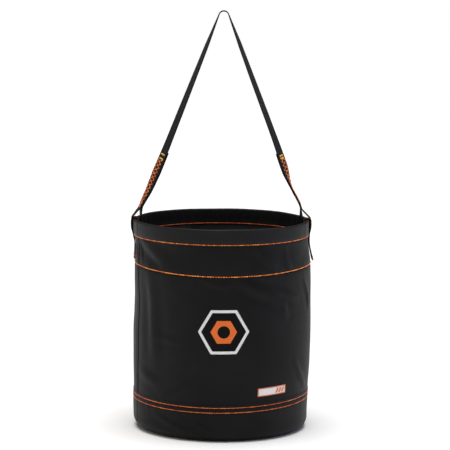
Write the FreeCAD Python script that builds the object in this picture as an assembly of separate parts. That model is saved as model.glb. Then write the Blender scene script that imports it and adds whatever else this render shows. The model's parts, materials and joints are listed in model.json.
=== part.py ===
# Round fabric tool bucket with a webbing handle.
# Millimetres. +Z is up, the front is towards -Y, and the origin is the middle of the underside.
import FreeCAD, Part
import math
import os

Vector = FreeCAD.Vector

# ---- driving dimensions -------------------------------------------------
rim_radius = 159.0          # outside of the fabric wall at the rim
wall_taper = 2.4            # how much smaller the wall's radius is at the floor
bucket_height = 377.0       # top of the hem above the ground
layer_gap = 0.05            # air between sewn layers

wall_thickness = 1.2        # coated outer fabric
lining_thickness = 0.7
facing_thickness = 1.0      # second layer inside the top of the wall
hem_thickness = 0.8
hoop_thickness = 2.5        # plastic strip that keeps the mouth round
hoop_height = 25.0

hoop_to_stitch = 2.15       # bottom of the hoop to the row that closes the hem
hem_allowance = 3.0         # hem below that row
band_stitch_drop = 10.0     # second row, below the ends of the outer straps
base_stitch_height = 61.6   # upper of the two rows at the foot
base_stitch_pitch = 8.6
seam_allowance = 5.0        # fabric beyond any other row of stitches
thread = 0.6

foot_rounding = 18.0        # outside radius where the wall turns under
foot_thickness = 1.2
base_board_thickness = 3.0
base_board_clearance = 2.7  # board edge to the bend of the foot

seam_angle = 72.0           # wall seam, round from the front
seam_width = 11.0
seam_thickness = 0.6

webbing_width = 25.0
webbing_thickness = 1.8
webbing_gap = 0.15          # webbing to the piece that it lies against
handle_rise = 374.0         # top of the handle above the rim
handle_bend = 8.9           # centre-line radius at the top of the handle
pivot_rise = 31.0           # swing axis above the rim
pivot_inset = 20.2          # swing axis crosses each leg this far inside the rim
pivot_clearance = 0.8       # turning end of the webbing to the fixed ends

splice_length = 90.0        # second layer on each leg, above the swing axis
zigzag_width = 15.0
zigzag_pitch = 7.7
saddle_clearance = 8.0      # ends of the saddle above the rim stitch
outer_tail = 45.0           # outer strap below the rim stitch
inner_tail = 17.0           # inner strap below the rim stitch
bartack_width = 20.0
bartack_height = 3.0

badge_across_flats = 78.0
badge_height = 197.0        # middle of the badge above the ground
badge_angle = 1.7
badge_thickness = 1.0
badge_border_width = 5.0
badge_relief = 0.4
emblem_across_flats = 40.0
emblem_hole_radius = 11.0

label_width = 60.0
label_tall = 14.6
label_height = 86.0
label_angle = 35.5
label_thickness = 0.5
label_relief = 0.25
label_edge_width = 1.6
label_stripe_width = 3.8
label_stripe_pitch = 6.4
label_stripe_count = 3

# ---- sizes that follow --------------------------------------------------
hem_outset = layer_gap + hem_thickness
hoop_inset = wall_thickness + layer_gap
lining_inset = hoop_inset + hoop_thickness + layer_gap
hem_inner_inset = lining_inset + lining_thickness + layer_gap + hem_thickness
under_hem_top = bucket_height - hem_thickness - layer_gap
hoop_bottom = under_hem_top - hoop_height
rim_stitch_height = hoop_bottom - hoop_to_stitch
hem_bottom = rim_stitch_height - hem_allowance
saddle_bottom = rim_stitch_height + saddle_clearance
outer_tail_end = rim_stitch_height - outer_tail
inner_tail_end = rim_stitch_height - inner_tail
band_stitch_height = outer_tail_end - band_stitch_drop
foot_band_top = base_stitch_height + seam_allowance
board_bottom = foot_thickness + layer_gap
board_top = board_bottom + base_board_thickness
floor_top = board_top + layer_gap + lining_thickness
pivot_height = bucket_height + pivot_rise
strap_top = pivot_height - webbing_width / 2.0 - pivot_clearance
pivot_x = rim_radius - pivot_inset
bend_height = bucket_height + handle_rise - webbing_thickness / 2.0 - handle_bend
bend_drop = bend_height - pivot_height
leg_lean = math.acos(handle_bend / math.hypot(pivot_x, bend_drop)) - math.atan2(bend_drop, pivot_x)


def wall_radius(height):
    """Outside radius of the fabric wall at a height."""
    return rim_radius - wall_taper * (1.0 - height / bucket_height)


def turned(points):
    """Solid of revolution about Z from a closed outline of (radius, height)."""
    outline = Part.makePolygon([Vector(r, 0, z) for r, z in points + points[:1]])
    return Part.Face(outline).revolve(Vector(0, 0, 0), Vector(0, 0, 1), 360)


def wall_layer(low, high, outset, thickness):
    """Tube that follows the wall: its outside stands off the wall by outset."""
    low_outer = wall_radius(low) + outset
    high_outer = wall_radius(high) + outset
    outline = [
        (low_outer, low),
        (high_outer, high),
        (high_outer - thickness, high),
        (low_outer - thickness, low),
    ]
    return turned(outline)


def facing_front(shape, angle):
    """Turn a shape built about the front (-Y) by an angle towards +X."""
    turned_shape = shape.copy()
    turned_shape.rotate(Vector(0, 0, 0), Vector(0, 0, 1), angle)
    return turned_shape


def on_wall(outline, low, high, outset, thickness, angle):
    """Piece of a wall layer inside an outline of (across, up) points, seen from the front."""
    reach = 2.0 * rim_radius
    face = Part.Face(Part.makePolygon([Vector(x, 0, z) for x, z in outline + outline[:1]]))
    cutter = face.extrude(Vector(0, -reach, 0))
    patch = wall_layer(low, high, outset, thickness).common(cutter)
    return facing_front(patch, angle)


def chord(arc_length):
    """Half the straight width that covers an arc of this length on the wall."""
    return rim_radius * math.sin(arc_length / 2.0 / rim_radius)


def regular_outline(across_flats, centre_height):
    """Hexagon with corners at its left and right."""
    corner = across_flats / math.sqrt(3.0)
    points = []
    for step in range(6):
        turn = math.radians(60.0 * step)
        points.append((corner * math.cos(turn), centre_height + corner * math.sin(turn)))
    return points


def rectangle(width, low, high):
    half = chord(width)
    return [(-half, low), (half, low), (half, high), (-half, high)]


def band_outline(points, thickness):
    """Outline of a band of even thickness about a bent centre line of (x, z) points."""
    left = []
    right = []
    last = len(points) - 1
    for index, (x, z) in enumerate(points):
        before = points[max(index - 1, 0)]
        after = points[min(index + 1, last)]
        into = math.atan2(z - before[1], x - before[0]) if index > 0 else None
        out = math.atan2(after[1] - z, after[0] - x) if index < last else None
        into = out if into is None else into
        out = into if out is None else out
        middle = (into + out) / 2.0
        reach = thickness / 2.0 / math.cos((out - into) / 2.0)
        left.append((x - reach * math.sin(middle), z + reach * math.cos(middle)))
        right.append((x + reach * math.sin(middle), z - reach * math.cos(middle)))
    return left + right[::-1]


def webbing(points, thickness=webbing_thickness, width=webbing_width, middle=0.0):
    """Flat strap along a bent line in the XZ plane, its width along Y."""
    outline = [Vector(x, middle - width / 2.0, z) for x, z in band_outline(points, thickness)]
    face = Part.Face(Part.makePolygon(outline + outline[:1]))
    return face.extrude(Vector(0, width, 0))


def other_side(shape):
    """The same piece on the opposite side of the bucket."""
    return shape.rotated(Vector(0, 0, 0), Vector(0, 0, 1), 180)


# ---- bucket shell -------------------------------------------------------
def outer_wall():
    return wall_layer(foot_rounding, under_hem_top, 0.0, wall_thickness)


def rim_hoop():
    return wall_layer(hoop_bottom, under_hem_top, -hoop_inset, hoop_thickness)


def top_facing():
    low = band_stitch_height - seam_allowance
    return wall_layer(low, hoop_bottom - layer_gap, -hoop_inset, facing_thickness)


def foot_hollow_radius(height):
    """Inside radius of the turned-up edge of the foot at a height."""
    bend = foot_rounding - foot_thickness
    drop = max(foot_rounding - height, 0.0)
    return wall_radius(foot_rounding) - foot_rounding + math.sqrt(max(bend ** 2 - drop ** 2, 0.0))


def wall_lining():
    """Lining that starts where it clears the turned-up edge of the foot."""
    bend = foot_rounding - foot_thickness
    reach = foot_rounding - lining_inset + layer_gap
    lowest = foot_rounding - math.sqrt(max(bend ** 2 - reach ** 2, 0.0))
    low = max(lowest, floor_top) + layer_gap
    return wall_layer(low, under_hem_top, -lining_inset, lining_thickness)


def rim_hem():
    outer = hem_outset
    outer_inside = layer_gap
    inner_inside = -(hem_inner_inset - hem_thickness)
    inner = -hem_inner_inset
    low = wall_radius(hem_bottom)
    shelf = wall_radius(bucket_height - hem_thickness)
    top = wall_radius(bucket_height)
    shelf_height = bucket_height - hem_thickness
    return turned([
        (low + outer, hem_bottom),
        (top + outer, bucket_height),
        (top + inner, bucket_height),
        (low + inner, hem_bottom),
        (low + inner_inside, hem_bottom),
        (shelf + inner_inside, shelf_height),
        (shelf + outer_inside, shelf_height),
        (low + outer_inside, hem_bottom),
    ])


def side_seam(angle):
    low = foot_band_top + layer_gap
    high = hem_bottom - layer_gap
    strip = rectangle(seam_width, low, high)
    return on_wall(strip, low, high, layer_gap + seam_thickness, seam_thickness, angle)


def foot_cup():
    """Under panel whose edge turns up to meet the wall."""
    outer = wall_radius(foot_rounding)
    flat = outer - foot_rounding
    inner_bend = foot_rounding - foot_thickness
    middle = math.sqrt(0.5)
    outer_arc = Part.Arc(
        Vector(flat, 0, 0),
        Vector(flat + foot_rounding * middle, 0, foot_rounding * (1.0 - middle)),
        Vector(outer, 0, foot_rounding - layer_gap),
    )
    inner_arc = Part.Arc(
        Vector(outer - foot_thickness, 0, foot_rounding - layer_gap),
        Vector(flat + inner_bend * middle, 0, foot_rounding - inner_bend * middle),
        Vector(flat, 0, foot_thickness),
    )
    edges = [
        Part.LineSegment(Vector(0, 0, 0), Vector(flat, 0, 0)),
        outer_arc,
        Part.LineSegment(outer_arc.EndPoint, inner_arc.StartPoint),
        inner_arc,
        Part.LineSegment(Vector(flat, 0, foot_thickness), Vector(0, 0, foot_thickness)),
        Part.LineSegment(Vector(0, 0, foot_thickness), Vector(0, 0, 0)),
    ]
    profile = Part.Wire([edge.toShape() for edge in edges])
    return Part.Face(profile).revolve(Vector(0, 0, 0), Vector(0, 0, 1), 360)


def foot_band():
    return wall_layer(foot_rounding, foot_band_top, hem_outset, hem_thickness)


def base_board():
    radius = foot_hollow_radius(board_bottom) - base_board_clearance
    return Part.makeCylinder(radius, base_board_thickness, Vector(0, 0, board_bottom))


def floor_lining():
    low = board_top + layer_gap
    inside_lining = wall_radius(floor_top) - lining_inset
    radius = min(inside_lining, foot_hollow_radius(low)) - layer_gap
    return Part.makeCylinder(radius, lining_thickness, Vector(0, 0, low))


# ---- rows of stitches ---------------------------------------------------
def stitch_row(height, surface_outset):
    """Ring of thread that lies on a layer at a height."""
    low = height - thread / 2.0
    return wall_layer(low, low + thread, surface_outset + layer_gap + thread, thread)


def rim_stitch():
    return stitch_row(rim_stitch_height, hem_outset)


def rim_stitch_inside():
    surface = -(hem_inner_inset + 2.0 * layer_gap + thread)
    return stitch_row(rim_stitch_height, surface)


def band_stitch():
    return stitch_row(band_stitch_height, layer_gap + seam_thickness)


def base_stitch_upper():
    return stitch_row(base_stitch_height, hem_outset)


def base_stitch_lower():
    return stitch_row(base_stitch_height - base_stitch_pitch, hem_outset)


# ---- ends of the handle webbing, built on the +X side --------------------
def leg_x(height):
    """Middle of the handle's webbing, right leg, at a height."""
    return pivot_x - math.tan(leg_lean) * (height - pivot_height)


def half_width_sag(radius):
    """How far a circle falls away from its tangent over half a strap."""
    return radius - math.sqrt(radius ** 2 - (webbing_width / 2.0) ** 2)


def saddle_faces():
    """X of the saddle's outer and inner faces that lie on the hem."""
    outside = rim_radius + hem_outset + webbing_gap
    inner_radius = wall_radius(saddle_bottom) - hem_inner_inset
    inside = inner_radius - half_width_sag(inner_radius) - webbing_gap
    return outside, inside


def rim_saddle():
    outside, inside = saddle_faces()
    half = webbing_thickness / 2.0
    high = bucket_height + webbing_gap + half
    return webbing([
        (outside + half, saddle_bottom),
        (outside + half, high),
        (inside - half, high),
        (inside - half, saddle_bottom),
    ])


def outer_strap_x(height):
    """Middle of the outer strap where it lies on the hem and, lower down, on the wall."""
    cover = hem_outset + layer_gap + thread + webbing_gap + webbing_thickness / 2.0
    return wall_radius(height) + cover


def over_saddle_x():
    return saddle_faces()[0] + 1.5 * webbing_thickness + webbing_gap


def anchor_strap_outer():
    half = webbing_thickness / 2.0
    saddle_top = bucket_height + webbing_gap + webbing_thickness
    below_saddle = saddle_bottom - webbing_gap - webbing_thickness
    path = [
        (leg_x(strap_top) + half + layer_gap, strap_top),
        (over_saddle_x(), saddle_top + webbing_thickness),
        (over_saddle_x(), saddle_bottom - half),
        (outer_strap_x(below_saddle), below_saddle),
        (outer_strap_x(outer_tail_end), outer_tail_end),
    ]
    strap = webbing(path)
    above = Part.makeBox(4 * rim_radius, 4 * rim_radius, bucket_height)
    above.translate(Vector(-2 * rim_radius, -2 * rim_radius, strap_top))
    return strap.cut(above)


def anchor_strap_inner():
    half = webbing_thickness / 2.0
    inside = saddle_faces()[1] - 1.5 * webbing_thickness - webbing_gap
    bend = bucket_height + webbing_thickness
    path = [
        (leg_x(strap_top) - half - layer_gap, strap_top),
        (inside, bend),
        (inside - wall_radius(bend) + wall_radius(inner_tail_end), inner_tail_end),
    ]
    strap = webbing(path)
    above = Part.makeBox(4 * rim_radius, 4 * rim_radius, bucket_height)
    above.translate(Vector(-2 * rim_radius, -2 * rim_radius, strap_top))
    return strap.cut(above)


def thread_bar(height, surface_x):
    """Bar of dense thread on the outer strap."""
    low = height - bartack_height / 2.0
    corner = Vector(surface_x + layer_gap, -bartack_width / 2.0, low)
    return Part.makeBox(thread, bartack_width, bartack_height, corner)


def hem_bartack():
    height = rim_stitch_height
    top = height + bartack_height / 2.0
    return thread_bar(height, outer_strap_x(top) + webbing_thickness / 2.0)


def tail_bartack():
    height = outer_tail_end + 2.0 * bartack_height
    top = height + bartack_height / 2.0
    return thread_bar(height, outer_strap_x(top) + webbing_thickness / 2.0)


def rim_bartack():
    """Two rows of thread across the top of the saddle."""
    outside, inside = saddle_faces()
    top = bucket_height + webbing_gap + webbing_thickness + layer_gap
    rows = []
    for side in (-1, 1):
        middle = side * bartack_width / 4.0
        corner = Vector(inside, middle - thread, top)
        rows.append(Part.makeBox(outside - inside, 2.0 * thread, thread, corner))
    return Part.makeCompound(rows)


# ---- swinging handle ----------------------------------------------------
def handle_layer(offset, thickness, low, high, width=webbing_width):
    """Strip of the right leg, from low to high, standing off the leg's middle by offset."""
    shift_x = offset * math.cos(leg_lean)
    shift_z = offset * math.sin(leg_lean)
    path = [
        (leg_x(low) + shift_x, low + shift_z),
        (leg_x(high) + shift_x, high + shift_z),
    ]
    return webbing(path, thickness, width)


def rounded_end(strip):
    """Trim the bottom of a strip so that it clears a circle about the swing axis."""
    reach = 2.0 * rim_radius
    radius = webbing_width / 2.0
    roller = Part.makeCylinder(radius, 2 * reach, Vector(-reach, 0, pivot_height), Vector(1, 0, 0))
    above = Part.makeBox(2 * reach, 2 * reach, 4 * bucket_height)
    above.translate(Vector(-reach, -reach, pivot_height))
    return strip.common(above.fuse(roller))


def handle_strap():
    """One length of webbing up one leg, round the top and down the other."""
    half = webbing_thickness / 2.0
    low = pivot_height - webbing_width
    borders = []
    for radius in (handle_bend + half, handle_bend - half):
        tangent_x = radius * math.cos(leg_lean)
        tangent_z = bend_height + radius * math.sin(leg_lean)
        foot_x = tangent_x + math.tan(leg_lean) * (tangent_z - low)
        left_foot = Vector(-foot_x, -webbing_width / 2.0, low)
        left_bend = Vector(-tangent_x, -webbing_width / 2.0, tangent_z)
        crown = Vector(0, -webbing_width / 2.0, bend_height + radius)
        right_bend = Vector(tangent_x, -webbing_width / 2.0, tangent_z)
        right_foot = Vector(foot_x, -webbing_width / 2.0, low)
        borders.append((left_foot, left_bend, crown, right_bend, right_foot))
    outer, inner = borders
    edges = [
        Part.LineSegment(outer[0], outer[1]),
        Part.Arc(outer[1], outer[2], outer[3]),
        Part.LineSegment(outer[3], outer[4]),
        Part.LineSegment(outer[4], inner[4]),
        Part.LineSegment(inner[4], inner[3]),
        Part.Arc(inner[3], inner[2], inner[1]),
        Part.LineSegment(inner[1], inner[0]),
        Part.LineSegment(inner[0], outer[0]),
    ]
    face = Part.Face(Part.Wire([edge.toShape() for edge in edges]))
    return rounded_end(face.extrude(Vector(0, webbing_width, 0)))


def handle_splice():
    """Second layer sewn to the inner face of a leg."""
    offset = -(webbing_thickness + layer_gap)
    low = pivot_height - webbing_width
    high = pivot_height + splice_length
    return rounded_end(handle_layer(offset, webbing_thickness, low, high))


def splice_stitch():
    """Zigzag of thread that joins the two layers, on the outer face of a leg."""
    offset = webbing_thickness / 2.0 + layer_gap + thread / 2.0
    low = pivot_height
    high = pivot_height + splice_length - seam_allowance
    strip = handle_layer(offset, thread, low, high)
    turns = int((high - low) / zigzag_pitch)
    swing = zigzag_width / 2.0
    points = []
    for turn in range(turns + 1):
        side = swing if turn % 2 else -swing
        points.append((side, low + turn * zigzag_pitch))
    one_edge = [Vector(0, y - thread, z) for y, z in points]
    other_edge = [Vector(0, y + thread, z) for y, z in points]
    ribbon = Part.Face(Part.makePolygon(one_edge + other_edge[::-1] + one_edge[:1]))
    return strip.common(ribbon.extrude(Vector(2 * rim_radius, 0, 0)))


def splice_bartack():
    offset = webbing_thickness / 2.0 + layer_gap + thread / 2.0
    low = pivot_height + splice_length - seam_allowance + thread
    return handle_layer(offset, thread, low, low + bartack_height, zigzag_width)


# ---- badge and label ----------------------------------------------------
def badge_patch(across_flats, outset, thickness):
    low = badge_height - badge_across_flats
    high = badge_height + badge_across_flats
    outline = regular_outline(across_flats, badge_height)
    return on_wall(outline, low, high, outset, thickness, badge_angle)


def badge_backing():
    return badge_patch(badge_across_flats, layer_gap + badge_thickness, badge_thickness)


def badge_border():
    outset = 2.0 * layer_gap + badge_thickness + badge_relief
    inner_flats = badge_across_flats - 2.0 * badge_border_width
    ring = badge_patch(badge_across_flats - layer_gap, outset, badge_relief)
    return ring.cut(badge_patch(inner_flats, outset + badge_relief, 3.0 * badge_relief))


def badge_emblem():
    """Plain six-sided nut."""
    outset = 2.0 * layer_gap + badge_thickness + badge_relief
    nut = badge_patch(emblem_across_flats, outset, badge_relief)
    hole = Part.makeCylinder(
        emblem_hole_radius, 2 * rim_radius, Vector(0, 0, badge_height), Vector(0, -1, 0)
    )
    return nut.cut(facing_front(hole, badge_angle))


def label_patch(width, low, high, outset, thickness):
    return on_wall(rectangle(width, low, high), low, high, outset, thickness, label_angle)


def label_field():
    low = label_height - label_tall / 2.0
    return label_patch(label_width, low, low + label_tall, layer_gap + label_thickness, label_thickness)


def label_edge():
    low = label_height - label_tall / 2.0
    outset = 2.0 * layer_gap + label_thickness + label_relief
    ring = label_patch(label_width - layer_gap, low, low + label_tall, outset, label_relief)
    hole_low = low + label_edge_width
    hole_high = low + label_tall - label_edge_width
    hole_width = label_width - 2.0 * label_edge_width
    hole = rectangle(hole_width, hole_low, hole_high)
    cutter = on_wall(hole, hole_low, hole_high, outset + label_relief, 3.0 * label_relief, label_angle)
    return ring.cut(cutter)


def label_stripes():
    """Slanting bars at the right end of the label."""
    outset = 2.0 * layer_gap + label_thickness + label_relief
    low = label_height - label_tall / 2.0 + 2.0 * label_edge_width
    high = label_height + label_tall / 2.0 - 2.0 * label_edge_width
    slant = (high - low) / 2.0
    end = label_width / 2.0 - 2.0 * label_edge_width - slant
    bars = []
    for index in range(label_stripe_count):
        right = end - index * label_stripe_pitch
        left = right - label_stripe_width
        outline = [(left, low), (right, low), (right + slant, high), (left + slant, high)]
        bars.append(on_wall(outline, low, high, outset, label_relief, label_angle))
    return Part.makeCompound(bars)


def build():
    nodes = {
        "outer_wall": outer_wall(),
        "wall_lining": wall_lining(),
        "rim_hoop": rim_hoop(),
        "rim_hem": rim_hem(),
        "top_facing": top_facing(),
        "side_seam_front_left": side_seam(-seam_angle),
        "side_seam_rear_right": side_seam(180.0 - seam_angle),
        "foot_cup": foot_cup(),
        "foot_band": foot_band(),
        "base_board": base_board(),
        "floor_lining": floor_lining(),
        "rim_stitch": rim_stitch(),
        "rim_stitch_inside": rim_stitch_inside(),
        "band_stitch": band_stitch(),
        "base_stitch_upper": base_stitch_upper(),
        "base_stitch_lower": base_stitch_lower(),
        "badge_backing": badge_backing(),
        "badge_border": badge_border(),
        "badge_emblem": badge_emblem(),
        "label_field": label_field(),
        "label_edge": label_edge(),
        "label_stripes": label_stripes(),
        "handle_strap": handle_strap(),
    }
    paired = {
        "rim_saddle": rim_saddle(),
        "anchor_strap_outer": anchor_strap_outer(),
        "anchor_strap_inner": anchor_strap_inner(),
        "hem_bartack": hem_bartack(),
        "tail_bartack": tail_bartack(),
        "rim_bartack": rim_bartack(),
        "handle_splice": handle_splice(),
        "splice_stitch": splice_stitch(),
        "splice_bartack": splice_bartack(),
    }
    for name, shape in paired.items():
        nodes[name + "_right"] = shape
        nodes[name + "_left"] = other_side(shape)
    return nodes


os.makedirs("parts", exist_ok=True)
for node, shape in build().items():
    shape.exportStep("parts/" + node + ".step")
    print(node, "solids", len(shape.Solids), "valid", shape.isValid(), "volume", round(shape.Volume, 1))
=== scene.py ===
# Round fabric tool bucket with a webbing handle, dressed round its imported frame.
# Metres. The front is towards -Y, +Z is up, and angles on the wall are degrees from the front towards +X.
import json
import math
import bmesh
import bpy
import numpy as np
from mathutils import Matrix, Vector


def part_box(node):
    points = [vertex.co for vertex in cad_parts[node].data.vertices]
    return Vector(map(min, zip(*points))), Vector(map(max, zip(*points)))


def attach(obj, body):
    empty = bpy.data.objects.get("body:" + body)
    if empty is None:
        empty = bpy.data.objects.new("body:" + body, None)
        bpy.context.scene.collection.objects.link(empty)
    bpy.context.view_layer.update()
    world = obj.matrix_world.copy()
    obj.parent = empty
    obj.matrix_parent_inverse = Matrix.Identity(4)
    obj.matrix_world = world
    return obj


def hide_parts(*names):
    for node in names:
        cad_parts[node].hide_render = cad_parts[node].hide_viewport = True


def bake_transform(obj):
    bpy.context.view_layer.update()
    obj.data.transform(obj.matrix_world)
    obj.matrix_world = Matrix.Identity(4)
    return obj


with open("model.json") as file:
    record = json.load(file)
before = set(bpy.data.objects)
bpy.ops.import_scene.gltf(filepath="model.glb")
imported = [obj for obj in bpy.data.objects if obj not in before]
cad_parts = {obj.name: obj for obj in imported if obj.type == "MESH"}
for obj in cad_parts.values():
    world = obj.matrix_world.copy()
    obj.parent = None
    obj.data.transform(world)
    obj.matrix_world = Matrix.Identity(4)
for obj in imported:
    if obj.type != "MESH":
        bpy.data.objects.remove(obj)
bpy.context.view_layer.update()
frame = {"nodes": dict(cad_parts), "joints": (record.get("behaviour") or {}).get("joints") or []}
mm = 0.001
sides = ((-1, "left"), (1, "right"))   # which way along X, and its word in the names


# small tools
def fromHex(code):
    # sRGB hex to linear colour
    parts = [int(code[i:i + 2], 16) / 255 for i in (1, 3, 5)]
    return [p / 12.92 if p <= 0.04045 else ((p + 0.055) / 1.055) ** 2.4 for p in parts] + [1.0]


def addNode(tree, kind, inputs={}, **settings):
    # one node with its settings; an input is a value or the socket that feeds it
    node = tree.nodes.new(kind)
    for name, value in settings.items():
        setattr(node, name, value)
    for name, value in inputs.items():
        if isinstance(value, bpy.types.NodeSocket):
            tree.links.new(value, node.inputs[name])
        else:
            node.inputs[name].default_value = value
    return node


def middleOf(node):
    low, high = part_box(node)
    return (low.z + high.z) / 2


def hump(x, low, high, edge):
    # 1 between low and high, easing to 0 over edge inside each end
    t = np.clip(np.minimum(x - low, high - x) / edge, 0, 1)
    return t * t * (3 - 2 * t)


def bell(x, width):
    return np.exp(-(x / width) ** 2)


# materials
def startMaterial(name):
    material = bpy.data.materials.new(name)
    material.use_nodes = True
    tree = material.node_tree
    return material, tree, tree.nodes["Principled BSDF"]


def wovenHeight(tree, pitch):
    # threads that pass over and under each other, on the cloth's own UV in metres
    uv = addNode(tree, "ShaderNodeUVMap", uv_map="cloth").outputs["UV"]
    waves = (math.pi / pitch, math.pi / pitch, 0)
    turned = addNode(tree, "ShaderNodeVectorMath", {0: uv, 1: waves}, operation="MULTIPLY")
    parts = addNode(tree, "ShaderNodeSeparateXYZ", {0: turned.outputs[0]})
    warp = addNode(tree, "ShaderNodeMath", {0: parts.outputs[0]}, operation="SINE")
    weft = addNode(tree, "ShaderNodeMath", {0: parts.outputs[1]}, operation="SINE")
    over = addNode(tree, "ShaderNodeMath", {0: warp.outputs[0], 1: weft.outputs[0]}, operation="MULTIPLY")
    return over.outputs[0]


def blotch(tree, size, detail=3.0):
    # soft patches about this many metres across
    place = addNode(tree, "ShaderNodeTexCoord").outputs["Object"]
    noise = {"Vector": place, "Scale": 1 / size, "Detail": detail, "Roughness": 0.55}
    return addNode(tree, "ShaderNodeTexNoise", noise).outputs["Fac"]


def mixed(tree, share, low, high):
    mix = addNode(tree, "ShaderNodeMix", {0: share, 6: fromHex(low), 7: fromHex(high)}, data_type="RGBA")
    return mix.outputs[2]


def ranged(tree, value, low, high):
    spread = {"Value": value, "From Min": 0.3, "From Max": 0.7, "To Min": low, "To Max": high}
    return addNode(tree, "ShaderNodeMapRange", spread).outputs[0]


def bumped(tree, height, distance, strength, below=None):
    inputs = {"Height": height, "Distance": distance, "Strength": strength}
    if below is not None:
        inputs["Normal"] = below
    return addNode(tree, "ShaderNodeBump", inputs).outputs["Normal"]


def coatedClothMaterial(name, low, high, roughLow, roughHigh, specular, sheen):
    # polyester plain weave under a thin matt vinyl coat: a soft broad sheen, the weave just showing through
    material, tree, shader = startMaterial(name)
    weavePitch = 0.9 * mm   # real threads are 0.45 mm apart; drawn coarser so that a close view shows them
    patches = blotch(tree, 90 * mm)
    grain = blotch(tree, 2.5 * mm, 6.0)
    threads = wovenHeight(tree, weavePitch)
    weave = bumped(tree, threads, 0.03 * mm, 0.35)
    normal = bumped(tree, grain, 0.08 * mm, 0.5, weave)
    tree.links.new(mixed(tree, ranged(tree, patches, 0.0, 1.0), low, high), shader.inputs["Base Color"])
    tree.links.new(ranged(tree, grain, roughLow, roughHigh), shader.inputs["Roughness"])
    tree.links.new(normal, shader.inputs["Normal"])
    shader.inputs["IOR"].default_value = 1.5
    shader.inputs["Specular IOR Level"].default_value = specular
    shader.inputs["Sheen Weight"].default_value = sheen
    shader.inputs["Sheen Roughness"].default_value = 0.45
    return material


def webbingMaterial():
    # nylon webbing: rows of weft ribs with a herringbone of warp yarns, low gloss; the colour carries painted
    # shade between the yarns and ribs and at both edges
    material, tree, shader = startMaterial("nylon webbing, black")
    uv = addNode(tree, "ShaderNodeUVMap", uv_map="cloth").outputs["UV"]
    parts = addNode(tree, "ShaderNodeSeparateXYZ", {0: uv})
    across, along = parts.outputs[0], parts.outputs[1]
    rib = 2.0 * mm         # weft ribs along the strap
    chevron = 6.25 * mm    # the warp changes direction every quarter of the width
    yarnPitch = 1.25 * mm  # warp yarns side by side
    fold = addNode(tree, "ShaderNodeMath", {0: across, 1: chevron}, operation="PINGPONG")
    slant = addNode(tree, "ShaderNodeMath", {0: fold.outputs[0], 1: along}, operation="ADD")
    turn = addNode(tree, "ShaderNodeMath", {0: slant.outputs[0], 1: 2 * math.pi / rib}, operation="MULTIPLY")
    twill = addNode(tree, "ShaderNodeMath", {0: turn.outputs[0]}, operation="SINE").outputs[0]
    yarn = addNode(tree, "ShaderNodeMath", {0: across, 1: 2 * math.pi / yarnPitch}, operation="MULTIPLY")
    cord = addNode(tree, "ShaderNodeMath", {0: yarn.outputs[0]}, operation="SINE").outputs[0]
    relief = {0: cord, 1: 0.45, 2: twill}   # the yarns stand up less than half as far as the ribs
    height = addNode(tree, "ShaderNodeMath", relief, operation="MULTIPLY_ADD").outputs[0]
    # painted shade: the low parts of the weave get the darker colour, the raised parts the lighter
    lit = addNode(tree, "ShaderNodeMapRange", {"Value": height, "From Min": -1.3, "From Max": 1.3}).outputs[0]
    fuzz = blotch(tree, 1.2 * mm, 5.0)
    normal = bumped(tree, fuzz, 0.05 * mm, 0.4, bumped(tree, height, 0.12 * mm, 0.8))
    away = addNode(tree, "ShaderNodeMath", {0: across}, operation="ABSOLUTE").outputs[0]
    edge = {"Value": away, "From Min": 9 * mm, "From Max": 11.5 * mm, "To Min": 1.0, "To Max": 0.15}
    inside = addNode(tree, "ShaderNodeMapRange", edge).outputs[0]   # painted shade: the colour darkens at both edges, where the webbing turns away from the light
    share = addNode(tree, "ShaderNodeMath", {0: lit, 1: inside}, operation="MULTIPLY").outputs[0]
    tree.links.new(mixed(tree, share, "#060607", "#1b1b1e"), shader.inputs["Base Color"])
    tree.links.new(ranged(tree, fuzz, 0.55, 0.72), shader.inputs["Roughness"])
    tree.links.new(normal, shader.inputs["Normal"])
    shader.inputs["Specular IOR Level"].default_value = 0.12
    shader.inputs["Sheen Weight"].default_value = 0.03
    shader.inputs["Sheen Roughness"].default_value = 0.4
    return material


def threadMaterial(name, low, high, sheen=0.25):
    # bonded polyester thread: bright, a little glossy on each crown, no two stitches quite alike
    material, tree, shader = startMaterial(name)
    shade = addNode(tree, "ShaderNodeAttribute", attribute_name="shade").outputs["Fac"]
    strands = blotch(tree, 0.5 * mm, 2.0)
    tint = {0: strands, 1: 0.35, 2: shade}
    share = addNode(tree, "ShaderNodeMath", tint, operation="MULTIPLY_ADD", use_clamp=True)
    tree.links.new(mixed(tree, share.outputs[0], low, high), shader.inputs["Base Color"])
    tree.links.new(ranged(tree, strands, 0.4, 0.6), shader.inputs["Roughness"])
    tree.links.new(bumped(tree, strands, 0.08 * mm, 0.6), shader.inputs["Normal"])
    shader.inputs["Specular IOR Level"].default_value = 0.4
    shader.inputs["Sheen Weight"].default_value = sheen
    return material


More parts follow.
